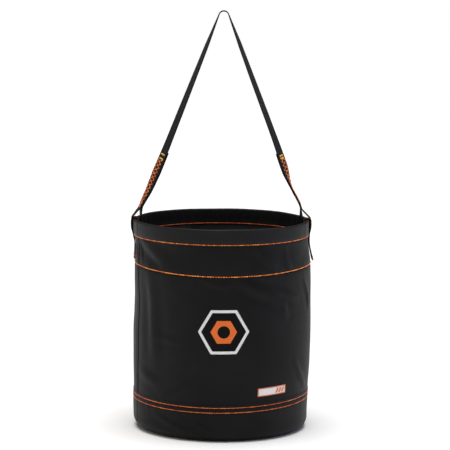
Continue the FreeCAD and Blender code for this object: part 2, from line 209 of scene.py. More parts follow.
def embroideryMaterial(name, low, high, lean, specular=0.35, sheen=0.15):
    # satin stitch or close weave: threads laid side by side, leaning one way, with a silky shine
    material, tree, shader = startMaterial(name)
    threadPitch = 0.8 * mm   # real threads are 0.4 mm apart; drawn coarser so that they show
    uv = addNode(tree, "ShaderNodeUVMap", uv_map="cloth").outputs["UV"]
    turned = addNode(tree, "ShaderNodeVectorRotate", {"Vector": uv, "Angle": lean}, rotation_type="Z_AXIS")
    parts = addNode(tree, "ShaderNodeSeparateXYZ", {0: turned.outputs[0]})
    waves = {0: parts.outputs[0], 1: 2 * math.pi / threadPitch}
    turn = addNode(tree, "ShaderNodeMath", waves, operation="MULTIPLY")
    ridge = addNode(tree, "ShaderNodeMath", {0: turn.outputs[0]}, operation="SINE").outputs[0]
    # painted light and shade: each thread's crown gets the lighter colour, the gaps between threads the
    # darker
    lit = addNode(tree, "ShaderNodeMapRange", {"Value": ridge, "From Min": -1.0, "From Max": 0.6}).outputs[0]
    fibres = blotch(tree, 0.7 * mm, 4.0)
    normal = bumped(tree, fibres, 0.05 * mm, 0.4, bumped(tree, ridge, 0.12 * mm, 0.7))
    tree.links.new(mixed(tree, lit, low, high), shader.inputs["Base Color"])
    tree.links.new(ranged(tree, fibres, 0.5, 0.65), shader.inputs["Roughness"])
    tree.links.new(normal, shader.inputs["Normal"])
    shader.inputs["Specular IOR Level"].default_value = specular
    shader.inputs["Sheen Weight"].default_value = sheen
    return material


def mouldedMaterial(name, low, high, rough, grainSize):
    # extruded or pressed sheet plastic: even colour, fine grain, a dull shine
    material, tree, shader = startMaterial(name)
    grain = blotch(tree, grainSize, 5.0)
    tree.links.new(mixed(tree, grain, low, high), shader.inputs["Base Color"])
    tree.links.new(ranged(tree, grain, rough - 0.05, rough + 0.1), shader.inputs["Roughness"])
    tree.links.new(bumped(tree, grain, 0.1 * mm, 0.4), shader.inputs["Normal"])
    shader.inputs["Specular IOR Level"].default_value = 0.4
    return material


coatedFabric = coatedClothMaterial("coated polyester fabric, black", "#0d0d0e", "#141416",
                                   roughLow=0.46, roughHigh=0.6, specular=0.11, sheen=0.015)
# a lighter copy of the wall fabric for the hem: painted light, standing in for the light that the coat pulled
# taut over the hoop catches; its shine is a little stronger too
hemFabricPaintedLight = coatedClothMaterial("coated polyester fabric, hem, painted lighter", "#121213", "#19191b",
                                roughLow=0.46, roughHigh=0.6, specular=0.14, sheen=0.02)
# the lining is thin cloth with hardly any coat, rougher than the wall; its paler colour is painted light for
# the inside of the bucket
liningFabric = coatedClothMaterial("lining fabric, black", "#232327", "#303035",
                                   roughLow=0.55, roughHigh=0.7, specular=0.3, sheen=0.05)
webbing = webbingMaterial()
orangeThread = threadMaterial("polyester thread, orange", "#e0400f", "#ff9a3a", sheen=0.1)
yellowThread = threadMaterial("polyester thread, golden", "#f0a822", "#ffe070")
blackThread = threadMaterial("polyester thread, black", "#0d0d0f", "#26262a", sheen=0.1)
patchTwill = embroideryMaterial("patch twill, black", "#030304", "#0b0b0d", lean=0.78, specular=0.1, sheen=0)
whiteEmbroidery = embroideryMaterial("embroidery thread, white", "#b9bcc0", "#f7f7f5", lean=0.1)
orangeEmbroidery = embroideryMaterial("embroidery thread, orange", "#c24a10", "#f47a22", lean=0.45)
labelWhite = embroideryMaterial("woven label, white", "#cfd1d3", "#f6f6f5", lean=0.0)
labelOrange = embroideryMaterial("woven label, orange", "#cc4e10", "#f07424", lean=0.0)
hoopPlastic = mouldedMaterial("extruded polyethylene, black", "#151517", "#1d1d20",
                              rough=0.4, grainSize=4 * mm)
boardPlastic = mouldedMaterial("pressed base board, grey", "#2e2e30", "#3a3a3c",
                               rough=0.55, grainSize=3 * mm)
print("materials ready")

# the cloth of the bucket: every layer lies on one surface
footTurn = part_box("outer_wall")[0].z
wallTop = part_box("outer_wall")[1].z
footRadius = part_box("foot_cup")[1].x
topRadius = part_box("outer_wall")[1].x
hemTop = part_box("rim_hem")[1].z
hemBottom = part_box("rim_hem")[0].z
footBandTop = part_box("foot_band")[1].z
rimRow = middleOf("rim_stitch")
bandRow = middleOf("band_stitch")
baseRowUpper = middleOf("base_stitch_upper")
baseRowLower = middleOf("base_stitch_lower")
seamAngles = (-72.0, 108.0)   # wall seams
hemLapAngles = (-72.0, 72.0)  # laps of the hem
strapAngle = 90.0             # the handle's ends, left and right

cloth = {
    "sideRise": 3.0 * mm,   # the band row climbs towards the straps
    "rimLean": 0.8 * mm,    # the rim row stands a little above the end of the hoop
    "rimTilt": 0.4,         # and more so at the right than at the left, as a share
    "topWander": ((0.25 * mm, 5, 0.7), (0.15 * mm, 11, 0.0)),  # uneven mouth: lift, waves, phase
    "baseRise": 1.5 * mm,   # the double row climbs towards the sides
    "grooveDepth": 1.0 * mm,
    "grooveWidth": 2.4 * mm,
    "pucker": 0.24 * mm,    # ripple where a row gathers the cloth
    "puckerReach": 8 * mm,
    "puckerCounts": ((71, 0.4), (53, 1.9), (41, 4.0)),  # ripples round the bucket, phase
    "lapHalf": 5.5 * mm,    # half the width of a lapped seam
    "strapPress": 0.8,      # the straps hold this share of the slack down
    "columns": 300,         # columns of the mesh round the bucket
}

# soft slack of each panel: lift in mm, waves round the bucket, phase, slant over the panel's height
slack = {
    "body": ((0.8, 3, 0.6, 0.5), (0.6, 5, 2.1, 2.2), (0.4, 8, 5.2, -3.1), (0.22, 13, 1.1, 4.0)),
    "top": ((0.4, 4, 1.0, 0.8), (0.35, 9, 0.4, 2.5), (0.2, 14, 1.7, -3.0)),
    "foot": ((0.3, 5, 0.2, 1.0), (0.22, 11, 2.6, -2.0)),
}

# creases: (angle, height in mm) along each crest, lift in mm, soft side and steep side in mm
creases = (
    (((-64, 341), (-52, 329), (-43, 317), (-39, 303)), 1.0, 14, 8),
    (((22, 343), (28, 328), (33, 315), (38, 300)), 1.2, 10, 7),
    (((44, 336), (47, 315), (50, 300)), 0.7, 6, 7),
    (((-69, 344), (-66, 322), (-64, 302)), 0.7, 4, 4),
    (((-77, 342), (-75, 322), (-75, 303)), 0.6, 3, 4),
    (((-12, 288), (-6, 281), (0, 277), (7, 276)), 0.8, 6, 4),
    (((9, 288), (18, 276), (24, 268), (31, 260), (38, 250), (44, 236), (46, 218)), 1.5, 7, 8),
    (((24, 279), (36, 266), (45, 256), (58, 240)), 0.9, 6, 6),
    (((66, 270), (73, 243), (76, 215)), 0.9, 7, 5),
    (((-54, 288), (-51, 241), (-50, 188), (-49, 130)), 1.0, 14, 12),
    (((-38, 80), (-29, 97), (-22, 115), (-18, 130)), -1.2, 5, 7),
    (((-68, 110), (-57, 101), (-44, 94)), 0.5, 9, 8),
    (((-48, 176), (-33, 174), (-24, 176)), 0.5, 6, 5),
    (((55, 128), (63, 100), (72, 76)), 0.7, 7, 5),
    (((-48, 42), (-33, 27), (-19, 15)), 0.7, 4, 6),
    (((-16, 32), (-9, 22), (-2, 15)), 0.6, 4, 5),
    (((20, 40), (27, 28), (37, 18)), 0.4, 5, 5),
)
rearTurn = 187.0  # the back of the bucket creases in much the same way
rearShare = 0.8   # and a little less deeply
creaseScale = 2.5

# how the cloth settles at the left (-1) and right (1) of the bucket: height, standing off in mm
settled = {
    -1: ((0, 0), (21, 1.2), (51, 1.2), (80, 0.8), (110, 0.9), (140, 0.5), (172, 0.5), (184, 0.1), (198, -1.2),
         (235, -2.3), (264, -1.2), (290, -1.2), (308, -2.8), (323, -3.3), (337, -3.0), (346, -0.9),
         (354, 0.2), (400, 0.2)),
    1: ((0, 0), (21, -1.0), (36, -0.4), (51, 0.6), (65, 0.8), (80, 1.8), (95, 3.2), (110, 4.6), (125, 5.1),
        (139, 5.5), (154, 6.0), (183, 5.9), (198, 5.6), (220, 4.8), (235, 4.1), (264, 3.3), (279, 2.5),
        (293, 1.9), (308, 0.2), (323, -2.0), (337, -3.3), (350, -3.2), (400, -3.2)),
}


def wallRadius(height):
    return footRadius + (topRadius - footRadius) * (height - footTurn) / (wallTop - footTurn)


anchors = (0.0, footTurn, baseRowLower, baseRowUpper, bandRow, rimRow, hemTop)


def driftedHeight(angle, height):
    # the rows of stitches aren't quite level, and the cloth between them follows
    turn = np.radians(angle)
    side = 1 - np.cos(2 * turn)
    base = cloth["baseRise"] * (side + np.sin(turn))
    rim = cloth["rimLean"] * (1 + cloth["rimTilt"] * np.sin(turn))
    top = sum(rise * np.sin(count * turn + phase) for rise, count, phase in cloth["topWander"])
    drifts = (0 * base, 0.2 * base, base, base, cloth["sideRise"] * side, rim, top)
    lift = 0
    for index, drift in enumerate(drifts):
        share = [0.0] * len(anchors)
        share[index] = 1.0
        lift = lift + np.interp(height, anchors, share) * drift
    return height + lift


def awayFromStraps(angle, inside=5.5, outside=9.0):
    # 0 under the two straps, 1 well clear of them
    away = np.abs(np.abs(angle) - strapAngle)
    t = np.clip((away - inside) / (outside - inside), 0, 1)
    return t * t * (3 - 2 * t)


def creaseLift(angle, height, crest, lift, soft, steep):
    # a ridge along the crest: its soft side on the left going up the list, its steep side on the right
    radius = (footRadius + topRadius) / 2 / mm
    arc = np.radians((angle + 180) % 360 - 180) * radius
    up = height / mm
    points = [(math.radians(a) * radius, z) for a, z in crest]
    lengths = [math.dist(p, q) for p, q in zip(points, points[1:])]
    best = np.full(np.broadcast(arc, up).shape, 1e9)
    side = np.zeros_like(best)
    along = np.zeros_like(best)
    done = 0.0
    for (px, pz), (qx, qz), length in zip(points, points[1:], lengths):
        dx, dz = (qx - px) / length, (qz - pz) / length
        t = np.clip((arc - px) * dx + (up - pz) * dz, 0, length)
        offX, offZ = arc - px - t * dx, up - pz - t * dz
        far = np.hypot(offX, offZ)
        nearer = far < best
        best = np.where(nearer, far, best)
        side = np.where(nearer, np.sign(dx * offZ - dz * offX), side)
        along = np.where(nearer, done + t, along)
        done += length
    width = np.where(side > 0, soft, steep)
    fade = np.sin(np.pi * np.clip(along / done, 0.02, 0.98)) ** 0.6   # blunt ends
    valley = 0.45 * bell(best - 1.7 * width, 0.9 * width)             # a shallow hollow beside the ridge
    return lift * fade * (bell(best, width) - valley)


def settledShift(angle, height):
    # in metres, smoothed up the wall and fading out towards the front and the back
    grid = np.arange(-40, 440, 4.0)
    window = np.hanning(9) / np.hanning(9).sum()
    shift = 0
    for side, table in settled.items():
        values = np.interp(grid, *zip(*table))
        smooth = np.convolve(np.pad(values, 4, mode="edge"), window, "valid")
        away = np.abs((angle - side * strapAngle + 180) % 360 - 180)
        wide = np.interp(height / mm, (300, 350), (34, 52))   # degrees, wider at the mouth
        shift = shift + np.interp(height / mm, grid, smooth) * bell(away, wide)
    return shift * mm


def panelSlack(angle, height, low, high, waves):
    turn = np.radians(angle)
    share = (height - low) / (high - low)
    total = 0
    for lift, count, phase, slant in waves:
        total = total + lift * np.sin(count * turn + phase + slant * share)
    return total * hump(height, low, high, 0.35 * (high - low))


def wallShift(angle, height):
    # how far the cloth stands off a plain cone, in metres
    shift = panelSlack(angle, height, baseRowUpper, bandRow, slack["body"])
    shift = shift + panelSlack(angle, height, bandRow, rimRow, slack["top"])
    shift = shift + panelSlack(angle, height, 0.0, baseRowLower, slack["foot"])
    for crest, lift, soft, steep in creases:
        lift = creaseScale * lift
        shift = shift + creaseLift(angle, height, crest, lift, soft, steep)
        shift = shift + creaseLift(angle + rearTurn, height, crest, rearShare * lift, soft, steep)
    shift = shift * hump(height, 0.0, rimRow, 6 * mm) * mm
    turn = np.radians(angle)
    ripple = sum(np.sin(count * turn + phase) for count, phase in cloth["puckerCounts"]) / 2
    for row, depth in ((bandRow, 1.0), (baseRowUpper, 0.7), (baseRowLower, 0.7), (rimRow, 0.35)):
        away = height - row
        shift = shift - depth * cloth["grooveDepth"] * bell(away, cloth["grooveWidth"])
        near = np.exp(-np.abs(away) / cloth["puckerReach"]) * (1 - bell(away, 2 * mm))
        shift = shift + cloth["pucker"] * ripple * near * (height < rimRow)
    shift = shift * (1 - cloth["strapPress"] * (1 - awayFromStraps(angle)) * (height > bandRow))
    return shift + settledShift(angle, height)


def onWall(angle, height, outset=0.0):
    radius = wallRadius(height) + wallShift(angle, height) + outset
    turn = np.radians(angle)
    place = (radius * np.sin(turn), -radius * np.cos(turn), driftedHeight(angle, height))
    return np.stack(np.broadcast_arrays(*place), -1)


def clothRows(low, high, step=5 * mm, fine=1.6 * mm, fineReach=8 * mm):
    # heights up the cloth, closer together at the rows of stitches
    heights = [low]
    while heights[-1] < high:
        away = min(abs(heights[-1] - row) for row in (rimRow, bandRow, baseRowUpper, baseRowLower))
        heights.append(heights[-1] + (fine if away < fineReach else step))
    heights[-1] = high
    return np.array(heights)[:, None]


def clothAngles(count=cloth["columns"]):
    # angles round the bucket, with extra ones at the edges of the lapped seams
    even = list(np.arange(count) * 360 / count - 180)
    edge = math.degrees(cloth["lapHalf"] / topRadius)
    extra = []
    for middle in set(seamAngles + hemLapAngles):
        for side in (-1, 1):
            extra += [middle + side * edge + nudge for nudge in (-0.3, -0.1, 0.1, 0.3)]
    return np.array(sorted(set(np.round(even + extra, 4))))[None, :]


def solidMesh(name, front, back, across, along, material, wrap=False, pole=False):
    # closed solid between two grids of points; rows run up and columns to the right, seen from outside
    rows, cols = front.shape[:2]
    behind = rows * cols
    steps = cols if wrap else cols - 1
    uvCols = cols + 1 if wrap else cols
    uv = np.stack(np.broadcast_arrays(across, along), -1).reshape(rows, uvCols, 2)
    i, j = [grid.ravel() for grid in np.meshgrid(np.arange(rows - 1), np.arange(steps), indexing="ij")]
    corners = [((i, j, 0), (i, j + 1, 0), (i + 1, j + 1, 0), (i + 1, j, 0))]
    corners.append(((i, j, 1), (i + 1, j, 1), (i + 1, j + 1, 1), (i, j + 1, 1)))
    j = np.arange(steps)
    first, last = 0 * j, 0 * j + rows - 1
    if not pole:
        corners.append(((first, j, 0), (first, j, 1), (first, j + 1, 1), (first, j + 1, 0)))
    corners.append(((last, j, 0), (last, j + 1, 0), (last, j + 1, 1), (last, j, 1)))
    if not wrap:
        i = np.arange(rows - 1)
        left, right = 0 * i, 0 * i + cols - 1
        corners.append(((i, left, 0), (i + 1, left, 0), (i + 1, left, 1), (i, left, 1)))
        corners.append(((i, right, 0), (i, right, 1), (i + 1, right, 1), (i + 1, right, 0)))
    faces, places = [], []
    for quad in corners:
        faces.append(np.stack([r * cols + c % cols + layer * behind for r, c, layer in quad], 1))
        places.append(np.stack([uv[r, c] for r, c, layer in quad], 1))
    mesh = bpy.data.meshes.new(name)
    points = np.concatenate([front.reshape(-1, 3), back.reshape(-1, 3)])
    mesh.from_pydata(points.tolist(), [], np.concatenate(faces).tolist())
    mesh.uv_layers.new(name="cloth").data.foreach_set("uv", np.concatenate(places).ravel())
    if pole:
        shape = bmesh.new()
        shape.from_mesh(mesh)
        bmesh.ops.remove_doubles(shape, verts=shape.verts, dist=1e-6)
        shape.to_mesh(mesh)
        shape.free()
    return finished(name, mesh, material)


def finished(name, mesh, material=None):
    if material is not None:
        mesh.materials.append(material)
    mesh.shade_smooth()
    mesh.set_sharp_from_angle(angle=math.radians(42))
    piece = bpy.data.objects.new(name, mesh)
    bpy.context.scene.collection.objects.link(piece)
    return piece


def roundArc(angles, radius):
    # UV along the wall for a closed ring of angles
    closed = np.append(angles.ravel(), angles.ravel()[0] + 360)
    return np.radians(closed)[None, :] * radius


def wallLayer(name, low, high, outer, thickness, material, count=cloth["columns"], step=5 * mm):
    angles = clothAngles(count)
    heights = clothRows(low, high, step)
    front = onWall(angles, heights, outer)
    back = onWall(angles, heights, outer - thickness)
    return solidMesh(name, front, back, roundArc(angles, topRadius), heights, material, wrap=True)


def onBucket(piece, slotName, *nodes):
    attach(piece, "bucket")
    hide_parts(*nodes)
    return piece


# bucket shell: wall, facing and lining, with their places inwards from the wall's outside
shell = {
    "wall": 1.2 * mm,
    "facingInset": 1.3 * mm,
    "facing": 0.9 * mm,
    "liningInset": 3.8 * mm,
    "lining": 0.7 * mm,
    "underHem": 1.9 * mm,  # the layers stop this far under the top of the hem
    "middle": 190 * mm,    # height where the flat length of a sheet is taken
    # the lining's folds: number round the bucket, phase, slant, share
    "folds": ((9, 0.0, 2.0, 1.0), (14, 1.0, -3.0, 1.0), (23, 0.0, 2.5, 0.7), (37, 0.0, -4.0, 0.5)),
    "foldDepth": 0.45 * mm,
}
cuffTop = hemTop - shell["underHem"]

wallCloth = wallLayer("outer_wall_cloth", footTurn, cuffTop, 0.0, shell["wall"], coatedFabric)
onBucket(wallCloth, "coated_fabric", "outer_wall")

facingLow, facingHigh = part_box("top_facing")[0].z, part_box("top_facing")[1].z
facingCloth = wallLayer("top_facing_cloth", facingLow, facingHigh, -shell["facingInset"], shell["facing"],
                        coatedFabric, 160, 6 * mm)
onBucket(facingCloth, "coated_fabric", "top_facing")


def liningOutset(angle, height, low):
    # hangs from the hem and is a little too long, so it buckles inwards in soft upright folds
    turn = np.radians(angle)
    share = (height - low) / (rimRow - low)
    folds = sum(part * np.sin(count * turn + phase + slant * share)
                for count, phase, slant, part in shell["folds"])
    loose = hump(height, low - 20 * mm, rimRow - 2 * mm, 60 * mm)
    return -shell["liningInset"] - shell["foldDepth"] * (1.6 + folds) * loose


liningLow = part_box("wall_lining")[0].z
liningAngles = clothAngles()
liningRows = clothRows(liningLow, cuffTop, 6 * mm, 3 * mm)
liningOuter = liningOutset(liningAngles, liningRows, liningLow)
liningCloth = solidMesh("wall_lining_cloth", onWall(liningAngles, liningRows, liningOuter),
                        onWall(liningAngles, liningRows, liningOuter - shell["lining"]),
                        roundArc(liningAngles, topRadius), liningRows, liningFabric, wrap=True)
onBucket(liningCloth, "lining_fabric", "wall_lining")


def lapRise(angle, angles, thickness=0.45 * mm):
    # extra cloth where the ends of a band lap
    half = math.degrees(cloth["lapHalf"] / topRadius)
    rise = 0
    for middle in angles:
        rise = rise + hump(np.abs(angle - middle), -1.0, half + 0.2, 0.4)
    return thickness * rise


hem = {
    "outset": 0.85 * mm,
    "fullness": 0.3 * mm,   # the hoop fills the hem out
    "groove": 0.45 * mm,
    "innerInset": 5.35 * mm,
    "skin": 0.7 * mm,
    "gathers": 55,          # gathers round the inner leg, about 18 mm apart
    "gatherDepth": 1.6 * mm,
    # mm up from the lower edge to the shoulder
    "rows": [0, 0.8, 1.6, 2.3, 3.0, 3.7, 4.6, 6, 8.5, 12, 16, 19.5, 22, 24, 26, 27.6, 28.6],
}


def hemPiece():
    # up the outside, over the hoop in a round and down the inside, as one skin
    angles = clothAngles()
    up = hemBottom + np.array(hem["rows"])[:, None] * mm
    shoulder = up[-1, 0]
    groove = hem["groove"] * bell(up - rimRow, 1.5 * mm)
    full = hem["fullness"] * hump(up, rimRow + 1 * mm, hemTop + 4 * mm, 7 * mm) * awayFromStraps(angles)
    laps = lapRise(angles, hemLapAngles + seamAngles[1:]) * awayFromStraps(angles)
    outer = hem["outset"] + full - groove + laps
    turn = np.radians(angles)
    cusp = np.abs(np.sin(hem["gathers"] / 2 * turn + 0.8 * np.sin(4 * turn))) ** 0.7
    near = hump(up, rimRow + 6 * mm, hemTop + 6 * mm, 12 * mm) * awayFromStraps(angles, 8, 12)
    inner = -hem["innerInset"] + groove - hem["gatherDepth"] * (cusp - 0.35) * near
    skin = hem["skin"] - 0.35 * groove / hem["groove"] * hem["skin"]   # pulled thin along the row
    top, bottom = outer[-1:], inner[-1:]
    middle, half = (top + bottom) / 2, (top - bottom) / 2
    swing = np.radians(np.linspace(15, 165, 11))[:, None]
    arcOut = middle + half * np.cos(swing)
    arcIn = middle + (half - hem["skin"]) * np.cos(swing)
    rise = (hemTop - shoulder) * np.sin(swing)
    riseIn = (hemTop - shoulder - hem["skin"]) * np.sin(swing)
    wide = np.ones_like(angles)
    heightsOut = np.concatenate([up * wide, shoulder + rise * wide, up[::-1] * wide])
    heightsIn = np.concatenate([up * wide, shoulder + riseIn * wide, up[::-1] * wide])
    front = onWall(angles, heightsOut, np.concatenate([outer, arcOut, inner[::-1]]))
    back = onWall(angles, heightsIn, np.concatenate([outer - skin, arcIn, (inner + skin)[::-1]]))
    along = np.cumsum(np.r_[0, np.hypot(*np.diff(front[:, 0, 1:], axis=0).T)])[:, None]
    return solidMesh("rim_hem_cloth", front, back, roundArc(angles, topRadius), along, hemFabricPaintedLight, wrap=True)


onBucket(hemPiece(), "coated_fabric", "rim_hem")

foot = {
    "outset": 0.85 * mm,
    "skin": 0.8 * mm,
    "bend": 18.85 * mm,
    "puff": 0.25 * mm,   # the band swells between its two rows
}


def footShell():
    # the band and the under panel are one skin: across the bottom, round the bend and up the wall
    angles = clothAngles()
    flat = wallRadius(footTurn) + foot["outset"] - foot["bend"]
    underneath = np.linspace(0, flat, 16)[:, None]
    bend = np.radians(np.linspace(8, 90, 9))[:, None]
    heights = clothRows(foot["bend"] + 2 * mm, footBandTop, 4 * mm)
    rise = lapRise(angles, seamAngles) * awayFromStraps(angles)
    puff = foot["puff"] * hump(heights, baseRowLower, baseRowUpper, 3 * mm)

    def skinPoints(depth):
        turn = np.radians(angles)
        reach = foot["bend"] - depth
        bendRadius = flat + reach * np.sin(bend)
        bendHeight = foot["bend"] - reach * np.cos(bend)
        loose = wallShift(angles, np.maximum(bendHeight, 1 * mm)) * (1 - np.cos(bend))
        radii = [underneath + 0 * angles, bendRadius + loose + rise * np.sin(bend)]
        ups = [depth + 0 * underneath + 0 * angles, bendHeight + 0 * angles]
        low = [np.stack([r * np.sin(turn), -r * np.cos(turn), u], -1) for r, u in zip(radii, ups)]
        high = onWall(angles, heights, foot["outset"] + rise + puff - depth)
        return np.concatenate(low + [high])

    front, back = skinPoints(0.0), skinPoints(foot["skin"])
    along = np.cumsum(np.r_[0, np.hypot(*np.diff(front[:, 0, 1:], axis=0).T)])[:, None]
    return solidMesh("foot_shell", front, back, roundArc(angles, topRadius), along, coatedFabric,
                     wrap=True, pole=True)


onBucket(footShell(), "coated_fabric", "foot_cup", "foot_band")


def floorPiece():
    low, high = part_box("floor_lining")
    angles = np.arange(180)[None, :] * 2.0 - 180
    radii = np.linspace(0, high.x, 26)[:, None]
    turn = np.radians(angles)
    share = radii / high.x
    ripple = 0.35 * mm * (1 + np.sin(5 * turn + 4 * share)) * share * (1 - share ** 6)
    x, y = radii * np.sin(turn), -radii * np.cos(turn)
    top = np.stack(np.broadcast_arrays(x, y, high.z + ripple), -1)
    under = np.stack(np.broadcast_arrays(x, y, low.z + ripple), -1)
    arc = np.append(angles, 180.0)[None, :]
    return solidMesh("floor_lining_cloth", top[:, ::-1], under[:, ::-1], np.radians(arc) * high.x, radii,
                     liningFabric, wrap=True, pole=True)


onBucket(floorPiece(), "lining_fabric", "floor_lining")

seam = {
    "width": 2 * cloth["lapHalf"],
    "thickness": 0.6 * mm,
    "lift": 0.05 * mm,
    "crown": 0.15 * mm,      # the folded edges stand a little proud
    "middle": 200 * mm,      # height where its width is taken
    "rowAside": 3.8 * mm,    # its two rows of stitches, off its middle and off the wall
    "rowOutset": 0.8 * mm,
}


def seamPiece(name, middle):
    across = np.linspace(-0.5, 0.5, 9)[None, :] * seam["width"]
    heights = clothRows(footBandTop + 0.3 * mm, hemBottom - 0.3 * mm, 4 * mm)
    angles = middle + np.degrees(across / wallRadius(seam["middle"]))
    crown = seam["crown"] * (2 * across / seam["width"]) ** 2
    front = onWall(angles, heights, seam["lift"] + seam["thickness"] + crown)
    back = onWall(angles, heights, seam["lift"])
    return solidMesh(name, front, back, across, heights, coatedFabric)


for node, middle in zip(("side_seam_front_left", "side_seam_rear_right"), seamAngles):
    onBucket(seamPiece(node + "_strip", middle), "coated_fabric", node)

hoop = {"inset": 1.3 * mm, "thickness": 2.4 * mm}
hoopLow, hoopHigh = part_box("rim_hoop")[0].z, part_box("rim_hoop")[1].z
hoopStrip = wallLayer("rim_hoop_strip", hoopLow, hoopHigh, -hoop["inset"], hoop["thickness"], hoopPlastic)
onBucket(hoopStrip, "hoop_plastic", "rim_hoop")
frame["nodes"]["base_board"].data.materials.clear()
frame["nodes"]["base_board"].data.materials.append(boardPlastic)
print("bucket shell ready")


# handle webbing
strap = {
    "width": 25 * mm,
    "thickness": 1.8 * mm,
    "gap": 0.15 * mm,
    "spliceTop": 498 * mm,
    "legStart": 386 * mm,   # a leg is above this, its tail below
    "pivotX": 138.8 * mm,   # each leg's place at the height of the joint
    "topBend": 8.9 * mm,    # radius of the middle of the webbing where a hook lifts it
    "flexReach": 28 * mm,   # the webbing bends this far above and below the joint
}
pivotHeight = frame["joints"][0]["pos_m"][2]
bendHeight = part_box("handle_strap")[1].z - strap["thickness"] / 2 - strap["topBend"]
bendDrop = bendHeight - pivotHeight
legLean = (math.acos(strap["topBend"] / math.hypot(strap["pivotX"], bendDrop))
           - math.atan2(bendDrop, strap["pivotX"]))

# how the outer face turns towards the front: height in mm, degrees
legTwist = {
    -1: ((304, 7), (325, 6), (345, 0), (360, 0), (380, 2), (399, 8), (408, 14), (430, 23), (460, 31),
         (520, 26), (620, 19), (690, 13), (725, 5), (745, 0)),
    1: ((304, -4), (325, -2), (345, 0), (360, 0), (390, 0), (400, -1), (430, -1), (438, 2), (446, 8),
        (454, 16), (462, 23), (475, 27), (500, 25), (530, 22), (620, 18), (690, 13), (725, 5), (745, 0)),
}
innerTwist = {
    -1: ((350, 0), (380, 8), (399, 13), (412, 16), (430, 23), (460, 31), (520, 26)),
    1: ((350, 0), (368, 10), (385, 11), (393, 7), (400, -1), (430, -1), (438, 2), (446, 8), (454, 16),
        (462, 23), (475, 27), (500, 25), (530, 22)),
}
# each leg bows a little away from a straight line: height, outwards in mm
legBow = {
    -1: ((386, 5.6), (399, 5.3), (411, 4.1), (421, 2.6), (431, 1.7), (448, 1.2), (466, 0.7), (490, 0.2),
         (510, 0), (750, 0)),
    1: ((386, 0.3), (399, 0.3), (411, 0.0), (421, -1.7), (431, -3.7), (442, -4.1), (453, -3.7), (464, -3.2),
        (475, -2.4), (485, -2.2), (496, -1.8), (520, -1.2), (560, -0.8), (640, -0.5), (700, 0), (750, 0)),
}
# outer strap from its tail up over the rim to the leg: x and height in mm
outerBranch = {
    -1: ((163.5, 367), (163.3, 375.5), (161.7, 380), (158.0, 384.6), (154.2, 389.6), (150.0, 394.8)),
    1: ((160.2, 367), (160.0, 375.5), (158.4, 380), (153.8, 384.6), (148.9, 389.6), (144.4, 394.4)),
}
# below that it lies on the wall, the hem and the saddle: height, how far its middle stands off the wall
outerTail = {
    -1: ((304, 1.4), (318, 1.2), (329, 1.1), (338, 1.2), (349, 1.8), (354, 2.2), (358, 3.3), (361, 3.9)),
    1: ((304, 4.6), (316, 3.2), (328, 2.0), (338, 1.5), (349, 1.9), (354, 2.2), (358, 3.3), (361, 3.9)),
}
# inner strap from its tail up inside the rim
innerBranch = {
    -1: ((149.6, 332), (150.4, 341), (150.2, 351), (148.2, 364), (147.0, 377), (146.6, 387)),
    1: ((147.0, 332), (146.6, 341), (146.0, 351), (144.8, 364), (143.4, 377), (142.0, 387)),
}
mouthShift = {side: float(settledShift(side * strapAngle, hemTop)) for side in (-1, 1)}


def legX(side, height):
    bow = np.interp(height / mm, *zip(*legBow[side])) * mm
    return strap["pivotX"] - math.tan(legLean) * (height - pivotHeight) + bow


def throughPoints(points, step):
    # smooth curve through the points, then points an even step apart on it
    p = np.array(points, float)
    p = np.concatenate([2 * p[:1] - p[1:2], p, 2 * p[-1:] - p[-2:-1]])
    t = np.linspace(0, 1, 12, endpoint=False)[:, None]
    parts = []
    for a, b, c, d in zip(p, p[1:], p[2:], p[3:]):
        parts.append(0.5 * (2 * b + (c - a) * t + (2 * a - 5 * b + 4 * c - d) * t ** 2
                            + (3 * b - a - 3 * c + d) * t ** 3))
    dense = np.concatenate(parts + [p[-2:-1]])
    length = np.r_[0, np.cumsum(np.linalg.norm(np.diff(dense, axis=0), axis=1))]
    even = np.linspace(0, length[-1], max(2, round(length[-1] / step) + 1))
    return np.stack([np.interp(even, length, dense[:, k]) for k in range(3)], 1)


def strapFrame(points, twistTables):
    # centre line with its width direction, its outward direction and the length so far
    length = np.r_[0, np.cumsum(np.linalg.norm(np.diff(points, axis=0), axis=1))]
    tangent = np.gradient(points, length, axis=0)
    tangent /= np.linalg.norm(tangent, axis=1)[:, None]
    toFront = np.array([0.0, -1.0, 0.0])
    wide = toFront - (tangent @ toFront)[:, None] * tangent
    wide /= np.linalg.norm(wide, axis=1)[:, None]
    out = np.cross(wide, tangent)
    twist = np.zeros(len(points))
    for side, table in twistTables.items():
        heights, degrees = zip(*table)
        here = np.interp(points[:, 2] / mm, heights, degrees)
        twist = np.where(points[:, 0] * side > 0, here, twist)
    c, s = np.cos(np.radians(twist))[:, None], np.sin(np.radians(twist))[:, None]
    return {"length": length, "centre": points, "wide": c * wide - s * out, "out": c * out + s * wide}


def strapPoints(line, at, across, lift):
    # points on a strap: at is the length along it, across from its middle, lift off its centre line
    centre, wide, out = [
        np.stack([np.interp(at, line["length"], line[key][:, k]) for k in range(3)], -1)
        for key in ("centre", "wide", "out")
    ]
    return centre + wide * np.asarray(across)[..., None] + out * np.asarray(lift)[..., None], out


